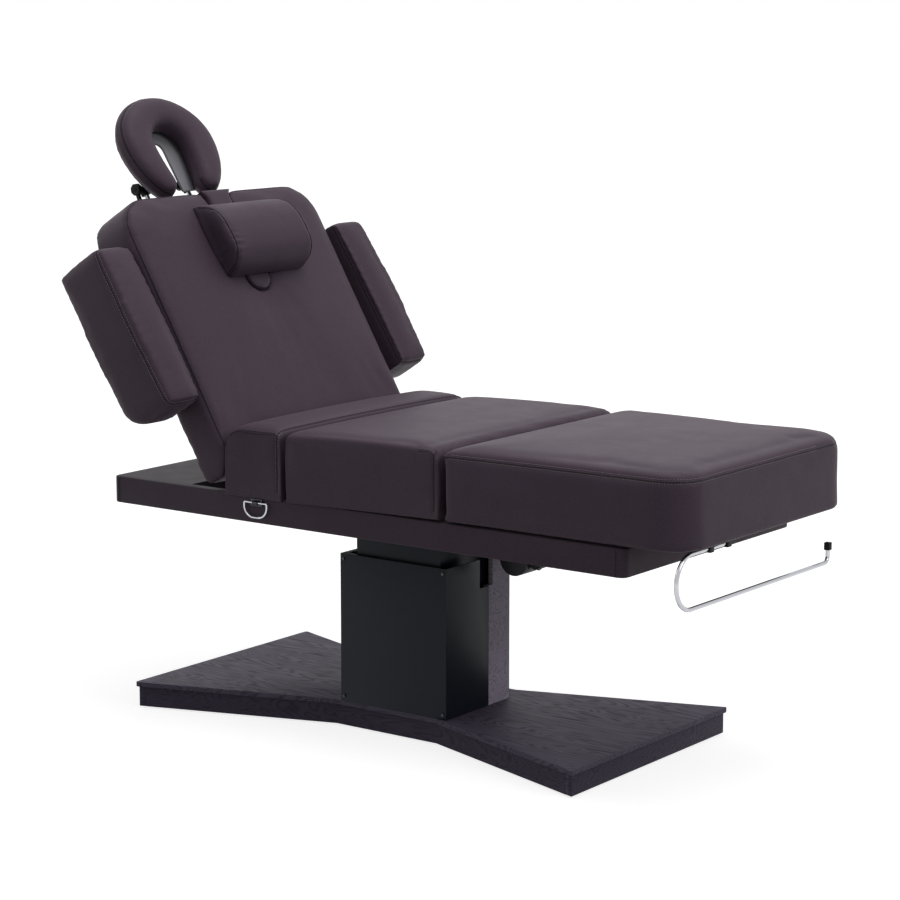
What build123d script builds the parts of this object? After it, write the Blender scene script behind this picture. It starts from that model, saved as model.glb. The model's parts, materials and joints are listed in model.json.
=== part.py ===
from build123d import *
import math
import os

# Electric spa bed: a veneered bow-tie base, a lifting column, an upholstered bed frame and
# four padded sections, with armrests, a face cradle, a pillow and a chrome roll bar.
# Millimetres, +X towards the foot end, +Z up, the near side at -Y, and the origin on the
# floor at the centre of the base.

# Base
base_length = 1250.0
base_width = 640.0
base_waist_length = 286.0
base_waist_width = 318.0
base_height = 63.5
base_corner_radius = 5.0
top_panel_thickness = 11.0
top_panel_overhang = 6.0
skirt_thickness = 18.0
skirt_floor_gap = 4.0
base_tube_width = 40.0
base_tube_height = 25.0
base_tube_y = 90.0
base_tube_inset = 55.0
base_cross_clearance = 29.0
column_plate_length = 340.0
column_plate_width = 240.0
column_plate_thickness = 6.0
foot_pad_radius = 22.0
foot_pad_height = 8.0
foot_stem_radius = 6.0
foot_inset = 25.0
middle_foot_radius = 40.0

# Lifting column
column_center_x = 26.0
column_length = 302.0
column_width = 320.0
column_top = 412.0
near_cover_thickness = 3.0
near_cover_edge_y = 3.7
cover_lip_width = 12.5
cover_lip_length = 85.0
far_casing_thickness = 12.0
far_casing_step = 3.0
far_chamfer_x = 50.0
far_chamfer_y = 70.0
notch_y = -4.0
notch_width = 54.0
foot_notch_depth = 67.0
head_notch_depth = 38.0
cover_screw_radius = 4.0
cover_screw_head = 2.2
cover_screw_inset_x = 9.0
cover_screw_inset_z = 12.0
sleeve_thickness = 2.0
sleeve_length = 238.0
sleeve_center_x = 29.0
sleeve_near_y = -143.0
sleeve_far_y = 130.0
sleeve_chamfer_x = 22.0
sleeve_chamfer_y = 31.0
sleeve_bottom = 205.0
sleeve_foot_notch_depth = 76.0
sleeve_head_notch_depth = 40.0
guide_outer_size = 100.0
guide_outer_wall = 5.0
guide_top = 340.0
guide_flange_size = 160.0
guide_flange_thickness = 8.0
guide_opening_gap = 5.0
guide_running_gap = 0.3
guide_inner_wall = 4.0
guide_inner_bottom = 131.0
guide_top_plate_size = 150.0
guide_top_plate_thickness = 8.0
guide_top_plate_top = 420.0
lift_body_radius = 30.0
lift_body_top = 330.0
lift_body_floor = 12.0
lift_rod_radius = 12.0
lift_rod_bottom = 140.0
running_clearance = 0.05

# Bed frame and chassis
frame_head_x = -662.0
frame_foot_x = 765.0
frame_width = 683.6
frame_bottom = 498.7
frame_top = 561.2
frame_wall = 25.0
frame_foot_wall = 50.0
frame_corner_radius = 18.0
frame_edge_bevel = 4.0
cross_bar_width = 40.0
cross_bar_height = 15.0
head_bar_x = -520.0
column_head_bar_x = -40.0
column_foot_bar_x = 100.0
clevis_bar_x = 330.0
control_bar_x = 480.0
foot_bar_x = 640.0
chassis_rail_y = 150.0
chassis_rail_width = 30.0
chassis_rail_height = 22.0
deck_foot_x = -436.0
saddle_plate_y = 60.0
saddle_plate_thickness = 6.0
saddle_plate_length = 200.0
control_box_length = 140.0
control_box_width = 110.0
control_box_height = 34.0
control_box_y = -70.0
control_box_bevel = 6.0
inlet_width = 28.0
inlet_height = 20.0
inlet_depth = 12.0

# Padded sections
board_thickness = 12.0
board_seat_gap = 0.4
pad_half_width = 349.8
pad_lip_drop = 4.8
pad_lip_inner = 343.0
pad_corner = 8.0
pad_draw = 3.0
pad_crown = 12.0
pad_end_drop = 1.5
hip_head_x = -306.3
hip_foot_x = -142.3
hip_top = 704.0
hip_nose_radius = 48.0
hip_crown = 5.0
thigh_head_x = -126.0
thigh_foot_x = 294.6
thigh_head_top = 703.5
thigh_foot_top = 711.5
thigh_crown = 8.0
thigh_head_lean = 5.0
thigh_tilt = 1.43
leg_head_x = 312.7
leg_foot_x = 913.1
leg_top = 703.5
leg_corner_radius = 84.0
leg_foot_lean = 3.0
leg_board_bottom = 565.0
leg_board_inset = 40.0

# Hinges of the thigh and leg sections
hip_hinge_x = -134.2
hip_hinge_z = 567.5
knee_hinge_x = 303.6
knee_hinge_z = 572.0
barrel_radius = 6.0
hinge_pin_radius = 2.5
hinge_half_length = 300.0
knuckle_gap = 1.0
hinge_web_height = 5.0
knuckle_count = 3
glide_radius = 6.3
glide_width = 60.0
glide_y = 300.0

# Knee actuator
knee_drive_y = 200.0
knee_lever_length = 90.0
lever_thickness = 8.0
lever_eye_radius = 14.0
lever_foot_length = 80.0
lever_foot_thickness = 6.0
eye_pin_radius = 5.0
knee_eye_clearance = 1.2
knee_eye_rise = 0.4
fork_gap = 0.5
fork_ear = 5.0
fork_ear_radius = 10.0
fork_reach = 34.0
knee_body_radius = 18.0
knee_body_foot_x = -240.0
knee_rod_radius = 8.0
knee_rod_overlap = 60.0
knee_body_wall_depth = 90.0
knee_motor_length = 110.0
knee_motor_radius = 22.0
knee_clevis_width = 30.0

# Backrest: its own frame has X up along the back, Z out of its face, and its origin on the
# hinge axis
back_incline = 57.08
back_pivot_x = -331.6
back_pivot_z = 615.0
back_rear = -53.0
back_length = 666.0
back_half_width = 349.8
back_seam_low = 49.8
back_seam_high = 73.9
back_crown = 15.0
back_end_radius = 23.8
back_heel_radius = 53.0
back_corner_radius = 100.0
back_board_thickness = 12.0
back_board_inset = 20.0
back_board_low = 55.0
slot_half_width = 40.0
slot_depth = 278.0
slot_flare_radius = 30.0
plug_clearance = 0.8
plug_rear = -48.0
plug_crown = 4.0
ear_thickness = 6.0
ear_radius = 14.0
ear_gap = 1.0
back_pin_radius = 6.0
slot_margin = 1.5
torsion_tube_u = 32.0
torsion_tube_rear = -64.0
torsion_tube_radius = 10.0
strap_length = 60.0
strap_width = 40.0
strap_y = 110.0
lever_arm = 95.0
lever_angle = -118.5

# Back actuator
drive_y = -4.0
drive_rear_x = 325.0
drive_rear_z = 420.0
drive_body_radius = 19.0
drive_body_length = 300.0
drive_rod_radius = 9.0
drive_rod_overlap = 110.0
drive_bore_depth = 270.0
drive_eye_radius = 14.0
drive_eye_width = 30.0
drive_pin_radius = 6.0
lever_hole_radius = 12.0
lever_hole_wall = 8.0
eye_offset_z = -6.0
gearbox_radius = 38.0
gearbox_width = 60.0
gearbox_reach = 53.0
gearbox_drop = 3.0
motor_radius = 26.0
motor_length = 46.0
clevis_thickness = 5.0
clevis_gap = 1.0
clevis_top_length = 46.0

# Armrests, in the backrest's frame; side is 1 on the near side and -1 on the far side
arm_low = 147.0
arm_high = 545.0
arm_front = 73.0
arm_rear = -75.0
arm_inner_y = 375.0
arm_outer_y = 474.0
arm_crown = 5.0
arm_heel_radius = 55.0
arm_corner_radius = 14.0
arm_pivot_u = 190.0
arm_pivot_rear = -10.0
arm_pin_radius = 7.0
arm_pin_head_radius = 11.0
arm_pin_head = 3.0
arm_plate_thickness = 6.0
arm_plate_half_width = 20.0
arm_plate_high = 470.0
arm_bracket_gap = 9.0
arm_bracket_width = 50.0
arm_bracket_inner_y = 230.0
arm_washer_radius = 13.0
arm_washer_gap = 0.5
recess_clearance = 1.0

# Pillow, in the backrest's frame
pillow_top_inset = 47.0
pillow_depth = 193.0
pillow_height = 84.0
pillow_center_y = -22.0
pillow_length = 294.0
pillow_end_crown = 9.0
pillow_seat_gap = 0.4

# Face cradle, in the backrest's frame
socket_y = 75.0
socket_rear = -66.0
socket_length = 182.0
socket_top_inset = 4.0
socket_radius = 10.0
socket_plate_thickness = 3.0
socket_plate_margin = 12.0
cradle_rod_radius = 6.0
cradle_rod_inset = 20.0
cradle_pivot_reach = 86.0
crossbar_radius = 8.0
crossbar_half_length = 92.0
tilt_arm_y = 57.0
tilt_arm_width = 10.0
tilt_arm_thickness = 8.0
tilt_arm_reach = 150.0
cradle_center_reach = 162.0
cradle_half_width = 148.0
cradle_half_height = 126.0
cradle_front = 22.0
cradle_rear = -34.0
cradle_hole_half_width = 66.0
cradle_hole_half_height = 57.0
cradle_tip_radius = 24.0
cradle_tip_reach = 56.0
cradle_tip_y = 76.0
cradle_side_share = 0.75
cradle_front_bevel = 13.0
second_bevel_share = 0.45
cradle_rear_bevel = 7.0
cradle_plate_thickness = 6.0
cradle_plate_slot = 21.0
cradle_plate_slot_reach = 190.0
cam_thickness = 12.0
cam_radius = 15.0
cam_gap = 2.0
cam_lever_length = 46.0
cam_lever_width = 9.0

# Roll bar under the foot end
roll_bar_x = 884.6
roll_bar_radius = 5.0
roll_bar_side_count = 12
roll_bar_low = 440.0
roll_bar_hook_y = -276.0
roll_bar_hook_radius = 58.0
roll_bar_lead_y = -130.0
roll_bar_far_y = 299.0
roll_bar_bend = 15.0
roll_bar_tip_z = 478.0
tip_size = 17.0
tip_height = 20.0
tip_cover = 12.0
tip_bevel = 2.0
clip_length = 16.0
clip_wall = 3.0
clip_plate_width = 34.0
clip_spread = 70.0

# Pull ring on the near side of the frame
ring_x = -218.0
ring_width = 66.0
ring_wire = 2.3
ring_drop = 34.0
ring_axis_z = 547.0
ring_bend = 16.0
ring_plate_length = 34.0
ring_plate_height = 16.0
ring_plate_thickness = 3.0
ring_loop_clearance = 0.4
ring_loop_wall = 2.0
ring_loop_length = 14.0

# Shared
overrun = 2.0
hexagon_count = 6
octagon_count = 8

# Sizes worked out from those above
base_half_length = base_length / 2
base_cross_length = base_width - 2 * (top_panel_overhang + skirt_thickness + base_cross_clearance)
panel_bottom = base_height - top_panel_thickness
column_near_y = -column_width / 2
column_far_y = column_width / 2
column_head_x = column_center_x - column_length / 2
column_foot_x = column_center_x + column_length / 2
frame_half_width = frame_width / 2
rail_inner_y = frame_half_width - frame_wall
cross_bar_top = frame_bottom + cross_bar_height
chassis_rail_top = cross_bar_top + chassis_rail_height
pad_bottom = frame_top - pad_lip_drop
board_bottom = frame_top + board_seat_gap
knee_reach = math.hypot(knee_hinge_x - hip_hinge_x, knee_hinge_z - hip_hinge_z)
glide_x = knee_hinge_x + knee_reach
knee_eye_z = hip_hinge_z - knee_lever_length
knee_pin_x = hip_hinge_x + knee_lever_length * math.sin(math.radians(thigh_tilt))
knee_drive_z = knee_eye_z + knee_eye_rise
ear_y = chassis_rail_y + chassis_rail_width / 2
lug_y = ear_y + ear_thickness + ear_gap
lever_turn = math.radians(lever_angle)
lever_eye_x = back_pivot_x + lever_arm * math.cos(lever_turn)
lever_eye_z = back_pivot_z + lever_arm * math.sin(lever_turn)
drive_run = drive_rear_x - lever_eye_x
drive_rise = lever_eye_z + eye_offset_z - drive_rear_z
drive_length = math.hypot(drive_run, drive_rise)
drive_slope = math.degrees(math.atan2(drive_rise, drive_run))
pillow_high = back_length - pillow_top_inset
pillow_low = pillow_high - pillow_depth
socket_high = back_length - socket_top_inset
socket_low = socket_high - socket_length
cradle_rod_low = socket_low + cradle_rod_inset
cradle_pivot_u = back_length + cradle_pivot_reach
cradle_tip_u = back_length + cradle_tip_reach
cradle_center_u = back_length + cradle_center_reach
tilt_arm_high = back_length + tilt_arm_reach
cradle_plate_slot_high = back_length + cradle_plate_slot_reach
arm_plate_inner_y = arm_inner_y - arm_plate_thickness
arm_bracket_y = back_half_width + arm_bracket_gap
back_seam_rise = (back_seam_high - back_seam_low) / back_length

back_frame = Plane(
    origin=(back_pivot_x, 0, back_pivot_z),
    x_dir=(-math.cos(math.radians(back_incline)), 0, math.sin(math.radians(back_incline))),
    z_dir=(math.sin(math.radians(back_incline)), 0, math.cos(math.radians(back_incline))),
).location


def block(x0, x1, y0, y1, z0, z1):
    """A box between six planes."""
    middle = Pos((x0 + x1) / 2, (y0 + y1) / 2, (z0 + z1) / 2)
    return middle * Box(abs(x1 - x0), abs(y1 - y0), abs(z1 - z0))


def prism(sketch, z0, z1):
    """A plan outline raised from z0 to z1."""
    return extrude(Pos(0, 0, z0) * sketch, amount=z1 - z0)


def slab(sketch, y0, y1):
    """A side outline, drawn in X and Z, carried from y0 to y1."""
    return extrude(Pos(0, y1, 0) * (Plane.XZ * sketch), amount=y1 - y0)


def bar(sketch, x0, x1):
    """An end outline, drawn in Y and Z, carried from x0 to x1."""
    return extrude(Pos(x0, 0, 0) * (Plane.YZ * sketch), amount=x1 - x0)


def rod_y(radius, x, z, y0, y1):
    """A round bar across the bed."""
    return slab(Pos(x, z) * Circle(radius), y0, y1)


def rod_x(radius, y, z, x0, x1):
    """A round bar along the bed."""
    return bar(Pos(y, z) * Circle(radius), x0, x1)


def link(xa, za, xb, zb, radius):
    """The side outline of a flat link with round ends."""
    spine = math.hypot(xb - xa, zb - za)
    turn = math.degrees(math.atan2(zb - za, xb - xa))
    middle = Pos((xa + xb) / 2, (za + zb) / 2) * Rot(0, 0, turn)
    ends = Pos(xa, za) * Circle(radius) + Pos(xb, zb) * Circle(radius)
    return middle * Rectangle(spine, 2 * radius) + ends


def tongue(xa, za, xb, zb, radius):
    """The side outline of a flat bar with a round end at a and a square end at b."""
    spine = math.hypot(xb - xa, zb - za)
    turn = math.degrees(math.atan2(zb - za, xb - xa))
    middle = Pos((xa + xb) / 2, (za + zb) / 2) * Rot(0, 0, turn)
    return middle * Rectangle(spine, 2 * radius) + Pos(xa, za) * Circle(radius)


def turned(shape, x, z, angle):
    """A shape turned about a line across the bed; a positive angle lowers its foot end."""
    return Pos(x, 0, z) * Rot(0, angle, 0) * Pos(-x, 0, -z) * shape


def on_back(shape):
    """A shape from the backrest's own frame, set in its place."""
    return back_frame * shape


def group(shapes):
    """Separate solids that share one node."""
    return Compound(children=list(shapes))


def base_outline(inset):
    """The bow-tie plan of the base, drawn in from its edge."""
    half_width = base_width / 2
    waist_x = base_waist_length / 2
    waist_y = base_waist_width / 2
    corners = [
        (-base_half_length, -half_width), (-waist_x, -waist_y), (waist_x, -waist_y),
        (base_half_length, -half_width), (base_half_length, half_width), (waist_x, waist_y),
        (-waist_x, waist_y), (-base_half_length, half_width),
    ]
    face = make_face(Polyline(*corners, close=True))
    if inset > 0:
        face = offset(face, amount=-inset, kind=Kind.INTERSECTION)
    return face


def base_top_panel():
    panel = prism(base_outline(0), panel_bottom, base_height)
    corners = panel.edges().filter_by(Axis.Z).group_by(SortBy.LENGTH)[0]
    outer = [edge for edge in corners if abs(edge.center().X) > base_half_length - overrun]
    panel = fillet(outer, base_corner_radius)
    half = guide_flange_size / 2 + guide_opening_gap
    return panel - block(column_center_x - half, column_center_x + half, -half, half,
                         panel_bottom - overrun, base_height + overrun)


def base_skirts():
    """Four boards: the two ends run through, and the sides butt against them."""
    ring = prism(base_outline(top_panel_overhang), skirt_floor_gap, panel_bottom)
    ring -= prism(base_outline(top_panel_overhang + skirt_thickness), 0, base_height)
    end_x = base_half_length - top_panel_overhang - skirt_thickness
    reach = base_half_length + overrun
    side = base_width
    foot = ring & block(end_x, reach, -side, side, 0, base_height)
    head = ring & block(-reach, -end_x, -side, side, 0, base_height)
    near = ring & block(-end_x, end_x, -side, 0, 0, base_height)
    far = ring & block(-end_x, end_x, 0, side, 0, base_height)
    return near, far, head, foot


def base_steel_frame():
    cross_x = base_half_length - base_tube_inset
    bottom = panel_bottom - base_tube_height
    half_tube = base_tube_width / 2
    steel = block(-column_plate_length / 2, column_plate_length / 2, -column_plate_width / 2,
                  column_plate_width / 2, panel_bottom - column_plate_thickness, panel_bottom)
    steel = Pos(column_center_x, 0, 0) * steel
    for side in (-1, 1):
        y = side * base_tube_y
        steel += block(-cross_x, cross_x, y - half_tube, y + half_tube, bottom, panel_bottom)
        x = side * cross_x
        steel += block(x - half_tube, x + half_tube, -base_cross_length / 2,
                       base_cross_length / 2, bottom, panel_bottom)
    return steel


def levelling_feet():
    cross_x = base_half_length - base_tube_inset
    foot_y = base_cross_length / 2 - foot_inset
    places = [(x, y) for x in (-cross_x, cross_x) for y in (-foot_y, foot_y)]
    foot = prism(RegularPolygon(foot_pad_radius, hexagon_count), 0, foot_pad_height)
    foot += prism(RegularPolygon(foot_stem_radius, hexagon_count), foot_pad_height, panel_bottom - base_tube_height)
    middle = prism(RegularPolygon(middle_foot_radius, hexagon_count), 0, foot_pad_height)
    middle += prism(RegularPolygon(foot_stem_radius, hexagon_count), foot_pad_height, panel_bottom - column_plate_thickness)
    return group([Pos(x, y, 0) * foot for x, y in places] + [middle])


def column_notch(depth, head_end):
    """The slot in an end of the column's covers that lets the back drive pass down."""
    x = column_head_x if head_end else column_foot_x
    reach = far_chamfer_x
    return block(x - reach, x + reach, notch_y - notch_width / 2, notch_y + notch_width / 2,
                 column_top - depth, column_top + overrun)


def column_near_cover():
    """Folded sheet cover over the near side, with a short lip along its top edge."""
    inner = near_cover_thickness
    shell = block(column_head_x, column_foot_x, column_near_y, near_cover_edge_y,
                  base_height, column_top)
    shell -= block(column_head_x + inner, column_foot_x - inner, column_near_y + inner,
                   near_cover_edge_y + overrun, base_height - overrun, column_top + overrun)
    lip_x = column_head_x + inner
    lip_y = column_near_y + inner
    shell += block(lip_x, lip_x + cover_lip_length, lip_y, lip_y + cover_lip_width,
                   column_top - inner, column_top)
    shell += block(lip_x, lip_x + cover_lip_width, lip_y, near_cover_edge_y - notch_width / 2,
                   column_top - inner, column_top)
    shell -= column_notch(foot_notch_depth, False)
    return shell - column_notch(head_notch_depth, True)


def casing_outline(inset):
    """The plan of the far casing, with its two far corners cut off."""
    x0 = column_head_x + far_casing_step + inset
    x1 = column_foot_x - far_casing_step - inset
    y1 = column_far_y - inset
    slant = inset * far_chamfer_y / math.hypot(far_chamfer_x, far_chamfer_y)
    corners = [
        (x0, near_cover_edge_y - inset), (x1, near_cover_edge_y - inset),
        (x1, y1 - far_chamfer_y + slant), (x1 - far_chamfer_x + slant, y1),
        (x0 + far_chamfer_x - slant, y1), (x0, y1 - far_chamfer_y + slant),
    ]
    return make_face(Polyline(*corners, close=True))


def column_far_casing():
    """Veneered casing round the far side, open towards the near cover."""
    shell = prism(casing_outline(0), base_height, column_top)
    shell -= prism(casing_outline(far_casing_thickness), base_height - overrun, column_top + overrun)
    shell -= column_notch(foot_notch_depth, False)
    return shell - column_notch(head_notch_depth, True)


def cover_screws():
    """Hexagon-head screws in the corners of the near cover."""
    xs = (column_head_x + cover_screw_inset_x, column_foot_x - cover_screw_inset_x)
    zs = (base_height + cover_screw_inset_z, column_top - cover_screw_inset_z)
    screws = []
    for x in xs:
        for z in zs:
            head = Pos(x, z) * RegularPolygon(cover_screw_radius, hexagon_count)
            head = slab(head, column_near_y - cover_screw_head, column_near_y)
            screws.append(head)
    return group(screws)


def column_inner_sleeve():
    """The shroud that hangs from the bed frame and slides inside the column's covers."""
    x0 = sleeve_center_x - sleeve_length / 2
    x1 = sleeve_center_x + sleeve_length / 2
    wall = sleeve_thickness
    outline = make_face(Polyline(
        (x0, sleeve_near_y), (x1, sleeve_near_y), (x1, sleeve_far_y - sleeve_chamfer_y),
        (x1 - sleeve_chamfer_x, sleeve_far_y), (x0 + sleeve_chamfer_x, sleeve_far_y),
        (x0, sleeve_far_y - sleeve_chamfer_y), close=True))
    sleeve = prism(outline, sleeve_bottom, frame_bottom)
    sleeve -= prism(offset(outline, amount=-wall, kind=Kind.INTERSECTION),
                    sleeve_bottom - overrun, frame_bottom + overrun)
    y0 = notch_y - notch_width / 2
    y1 = notch_y + notch_width / 2
    sleeve -= block(x1 - overrun * wall, x1 + overrun, y0, y1,
                    frame_bottom - sleeve_foot_notch_depth, frame_bottom + overrun)
    return sleeve - block(x0 - overrun, x0 + overrun * wall, y0, y1,
                          frame_bottom - sleeve_head_notch_depth, frame_bottom + overrun)


def square_tube(size, wall, z0, z1):
    inner = size - 2 * wall
    tube = prism(Rectangle(size, size), z0, z1) - prism(Rectangle(inner, inner), z0 - overrun, z1 + overrun)
    return Pos(column_center_x, 0, 0) * tube


def lift_guide_outer():
    """The fixed tube of the telescopic guide, on its flange."""
    flange_top = panel_bottom + guide_flange_thickness
    flange = prism(Rectangle(guide_flange_size, guide_flange_size), panel_bottom, flange_top)
    tube = square_tube(guide_outer_size, guide_outer_wall, flange_top, guide_top)
    return Pos(column_center_x, 0, 0) * flange + tube


def lift_guide_inner():
    """The moving tube, its top plate and the two saddle plates that carry the chassis."""
    size = guide_outer_size - 2 * guide_outer_wall - 2 * guide_running_gap
    plate_bottom = guide_top_plate_top - guide_top_plate_thickness
    steel = square_tube(size, guide_inner_wall, guide_inner_bottom, plate_bottom)
    plate = Rectangle(guide_top_plate_size, guide_top_plate_size)
    steel += Pos(column_center_x, 0, 0) * prism(plate, plate_bottom, guide_top_plate_top)
    half = saddle_plate_length / 2
    for side in (-1, 1):
        y = side * saddle_plate_y
        steel += block(column_center_x - half, column_center_x + half,
                       y - saddle_plate_thickness / 2, y + saddle_plate_thickness / 2,
                       guide_top_plate_top, frame_bottom)
    return steel


def lift_actuator_body():
    """The lift drive's square housing inside the guide, with the bore that its rod runs in."""
    bottom = panel_bottom + guide_flange_thickness
    body = prism(Rectangle(2 * lift_body_radius, 2 * lift_body_radius), bottom, lift_body_top)
    bore = Circle(lift_rod_radius + running_clearance)
    body -= prism(bore, bottom + lift_body_floor, lift_body_top + overrun)
    return Pos(column_center_x, 0, 0) * body


def lift_actuator_rod():
    rod = prism(Circle(lift_rod_radius), lift_rod_bottom, guide_top_plate_top - guide_top_plate_thickness)
    return Pos(column_center_x, 0, 0) * rod


def cross_bars():
    """Flat tubes across the frame, and the clevis plates of the back drive under one of them."""
    half = cross_bar_width / 2
    places = (head_bar_x, column_head_bar_x, column_foot_bar_x, control_bar_x, foot_bar_x)
    bars = [block(x - half, x + half, -rail_inner_y, rail_inner_y, frame_bottom, cross_bar_top)
            for x in places]
    clevis_bar = block(clevis_bar_x - half, clevis_bar_x + half, -rail_inner_y, rail_inner_y,
                       frame_bottom, cross_bar_top)
    ear = Pos(drive_rear_x, drive_rear_z) * Circle(drive_eye_radius)
    top = clevis_top_length / 2
    ear += make_face(Polyline(
        (drive_rear_x - drive_eye_radius, drive_rear_z), (drive_rear_x + drive_eye_radius, drive_rear_z),
        (drive_rear_x + top, frame_bottom), (drive_rear_x - top, frame_bottom), close=True))
    inner = drive_eye_width / 2 + clevis_gap
    outer = inner + clevis_thickness
    clevis_bar += slab(ear, drive_y + inner, drive_y + outer)
    clevis_bar += slab(ear, drive_y - outer, drive_y - inner)
    clevis_bar += rod_y(drive_pin_radius, drive_rear_x, drive_rear_z, drive_y - outer, drive_y + outer)
    return group(bars + [clevis_bar])


def chassis_rails():
    """The two long tubes of the chassis, on top of the cross bars."""
    half = chassis_rail_width / 2
    return group(block(frame_head_x + frame_wall, frame_foot_x - frame_foot_wall, y - half, y + half,
                       cross_bar_top, chassis_rail_top) for y in (-chassis_rail_y, chassis_rail_y))


def frame_rails():
    """The padded frame: a rounded rectangle in plan, cut into two sides and two ends."""
    length = frame_foot_x - frame_head_x
    middle = (frame_foot_x + frame_head_x) / 2
    outer = Pos(middle, 0) * RectangleRounded(length, frame_width, frame_corner_radius)
    ring = prism(outer, frame_bottom, frame_top)
    ring = chamfer(ring.faces().sort_by(Axis.Z)[0].edges(), frame_edge_bevel)
    ring -= block(frame_head_x + frame_wall, frame_foot_x - frame_foot_wall, -rail_inner_y,
                  rail_inner_y, frame_bottom - overrun, frame_top + overrun)
    reach = frame_width
    head_x = frame_head_x + frame_wall
    foot_x = frame_foot_x - frame_foot_wall
    low = frame_bottom - overrun
    high = frame_top + overrun
    head = ring & block(frame_head_x - overrun, head_x, -reach, reach, low, high)
    foot = ring & block(foot_x, frame_foot_x + overrun, -reach, reach, low, high)
    near = ring & block(head_x, foot_x, -reach, 0, low, high)
    far = ring & block(head_x, foot_x, 0, reach, low, high)
    return near, far, head, foot


def head_deck():
    """The closed panel at the head end, which the back lies on when it is flat."""
    return block(frame_head_x + frame_wall, deck_foot_x, -rail_inner_y, rail_inner_y,
                 chassis_rail_top, frame_top)


def control_box():
    """The control unit on its cross bar, with the recessed power inlet in its head face."""
    half = control_box_length / 2
    x0 = control_bar_x - half
    box = block(x0, control_bar_x + half, control_box_y - control_box_width / 2,
                control_box_y + control_box_width / 2, cross_bar_top,
                cross_bar_top + control_box_height)
    box = chamfer(box.edges().filter_by(Axis.Z), control_box_bevel)
    z = cross_bar_top + control_box_height / 2
    return box - block(x0 - overrun, x0 + inlet_depth, control_box_y - inlet_width / 2,
                       control_box_y + inlet_width / 2, z - inlet_height / 2, z + inlet_height / 2)


def hip_board():
    return block(hip_head_x + board_thickness, hip_foot_x, -pad_lip_inner, pad_lip_inner,
                 frame_top, frame_top + board_thickness)


def drawn_plan(x0, x1, half_width, draw):
    """A cushion's plan, whose long sides pull in between the corners."""
    middle = (x0 + x1) / 2
    edges = Line((x0, -half_width), (x0, half_width))
    edges += ThreePointArc((x0, half_width), (middle, half_width - draw), (x1, half_width))
    edges += Line((x1, half_width), (x1, -half_width))
    edges += ThreePointArc((x1, -half_width), (middle, draw - half_width), (x0, -half_width))
    return make_face(edges)


def crowned_bar(x0, x1, half_width, low, side_top, crown):
    """A solid along the bed with a crowned top across it."""
    edges = Polyline((-half_width, side_top), (-half_width, low), (half_width, low), (half_width, side_top))
    edges += ThreePointArc((half_width, side_top), (0, side_top + crown), (-half_width, side_top))
    return bar(make_face(edges), x0, x1)


def hip_cushion():
    """The short seat pad, with a round nose towards the backrest."""
    nose = hip_nose_radius
    lean = nose * (1 - math.sqrt(0.5))
    middle = (hip_head_x + nose + hip_foot_x) / 2
    end_top = hip_top - pad_end_drop
    edges = Polyline((hip_head_x, end_top - nose), (hip_head_x, pad_bottom), (hip_foot_x, pad_bottom),
                     (hip_foot_x, end_top))
    edges += ThreePointArc((hip_foot_x, end_top), (middle, hip_top + hip_crown / 2),
                           (hip_head_x + nose, end_top))
    edges += ThreePointArc((hip_head_x + nose, end_top), (hip_head_x + lean, end_top - lean),
                           (hip_head_x, end_top - nose))
    reach = pad_half_width + overrun
    pad = slab(make_face(edges), -reach, reach)
    pad &= prism(drawn_plan(hip_head_x - overrun, hip_foot_x + overrun, pad_half_width, pad_draw / 2),
                 pad_bottom - overrun, hip_top + pad_crown)
    pad &= crowned_bar(hip_head_x - overrun, hip_foot_x + overrun, reach,
                       pad_bottom - overrun, hip_top, hip_crown)
    pad -= block(hip_head_x - overrun, hip_foot_x + overrun, -pad_lip_inner, pad_lip_inner,
                 pad_bottom - overrun, frame_top)
    return pad - block(hip_head_x + board_thickness, hip_foot_x + overrun, -pad_lip_inner,
                       pad_lip_inner, frame_top - overrun, frame_top + board_thickness)


def knuckles(x, z, own, near_end_x, pin):
    """Every second knuckle of a long hinge, with webs to the board whose end is at near_end_x."""
    pitch = 2 * hinge_half_length / knuckle_count
    shapes = []
    for i in range(own, knuckle_count, 2):
        y0 = -hinge_half_length + i * pitch + knuckle_gap / 2
        y1 = -hinge_half_length + (i + 1) * pitch - knuckle_gap / 2
        knuckle = rod_y(barrel_radius, x, z, y0, y1)
        knuckle += block(x, near_end_x, y0, y1, z - hinge_web_height / 2, z + hinge_web_height / 2)
        if not pin:
            knuckle -= rod_y(hinge_pin_radius + running_clearance, x, z, y0 - overrun, y1 + overrun)
        shapes.append(knuckle)
    if not pin:
        return shapes
    leaf = rod_y(hinge_pin_radius, x, z, -hinge_half_length, hinge_half_length)
    for knuckle in shapes:
        leaf += knuckle
    return [leaf]


def hip_hinge_leaf():
    """The fixed half of the hinge between the hip and the thigh boards, with its pin."""
    return group(knuckles(hip_hinge_x, hip_hinge_z, 0, hip_foot_x, True))


def thigh_board():
    board = block(thigh_head_x, thigh_foot_x, -pad_lip_inner, pad_lip_inner, board_bottom,
                  board_bottom + board_thickness)
    return turned(board, hip_hinge_x, hip_hinge_z, -thigh_tilt)


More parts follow.
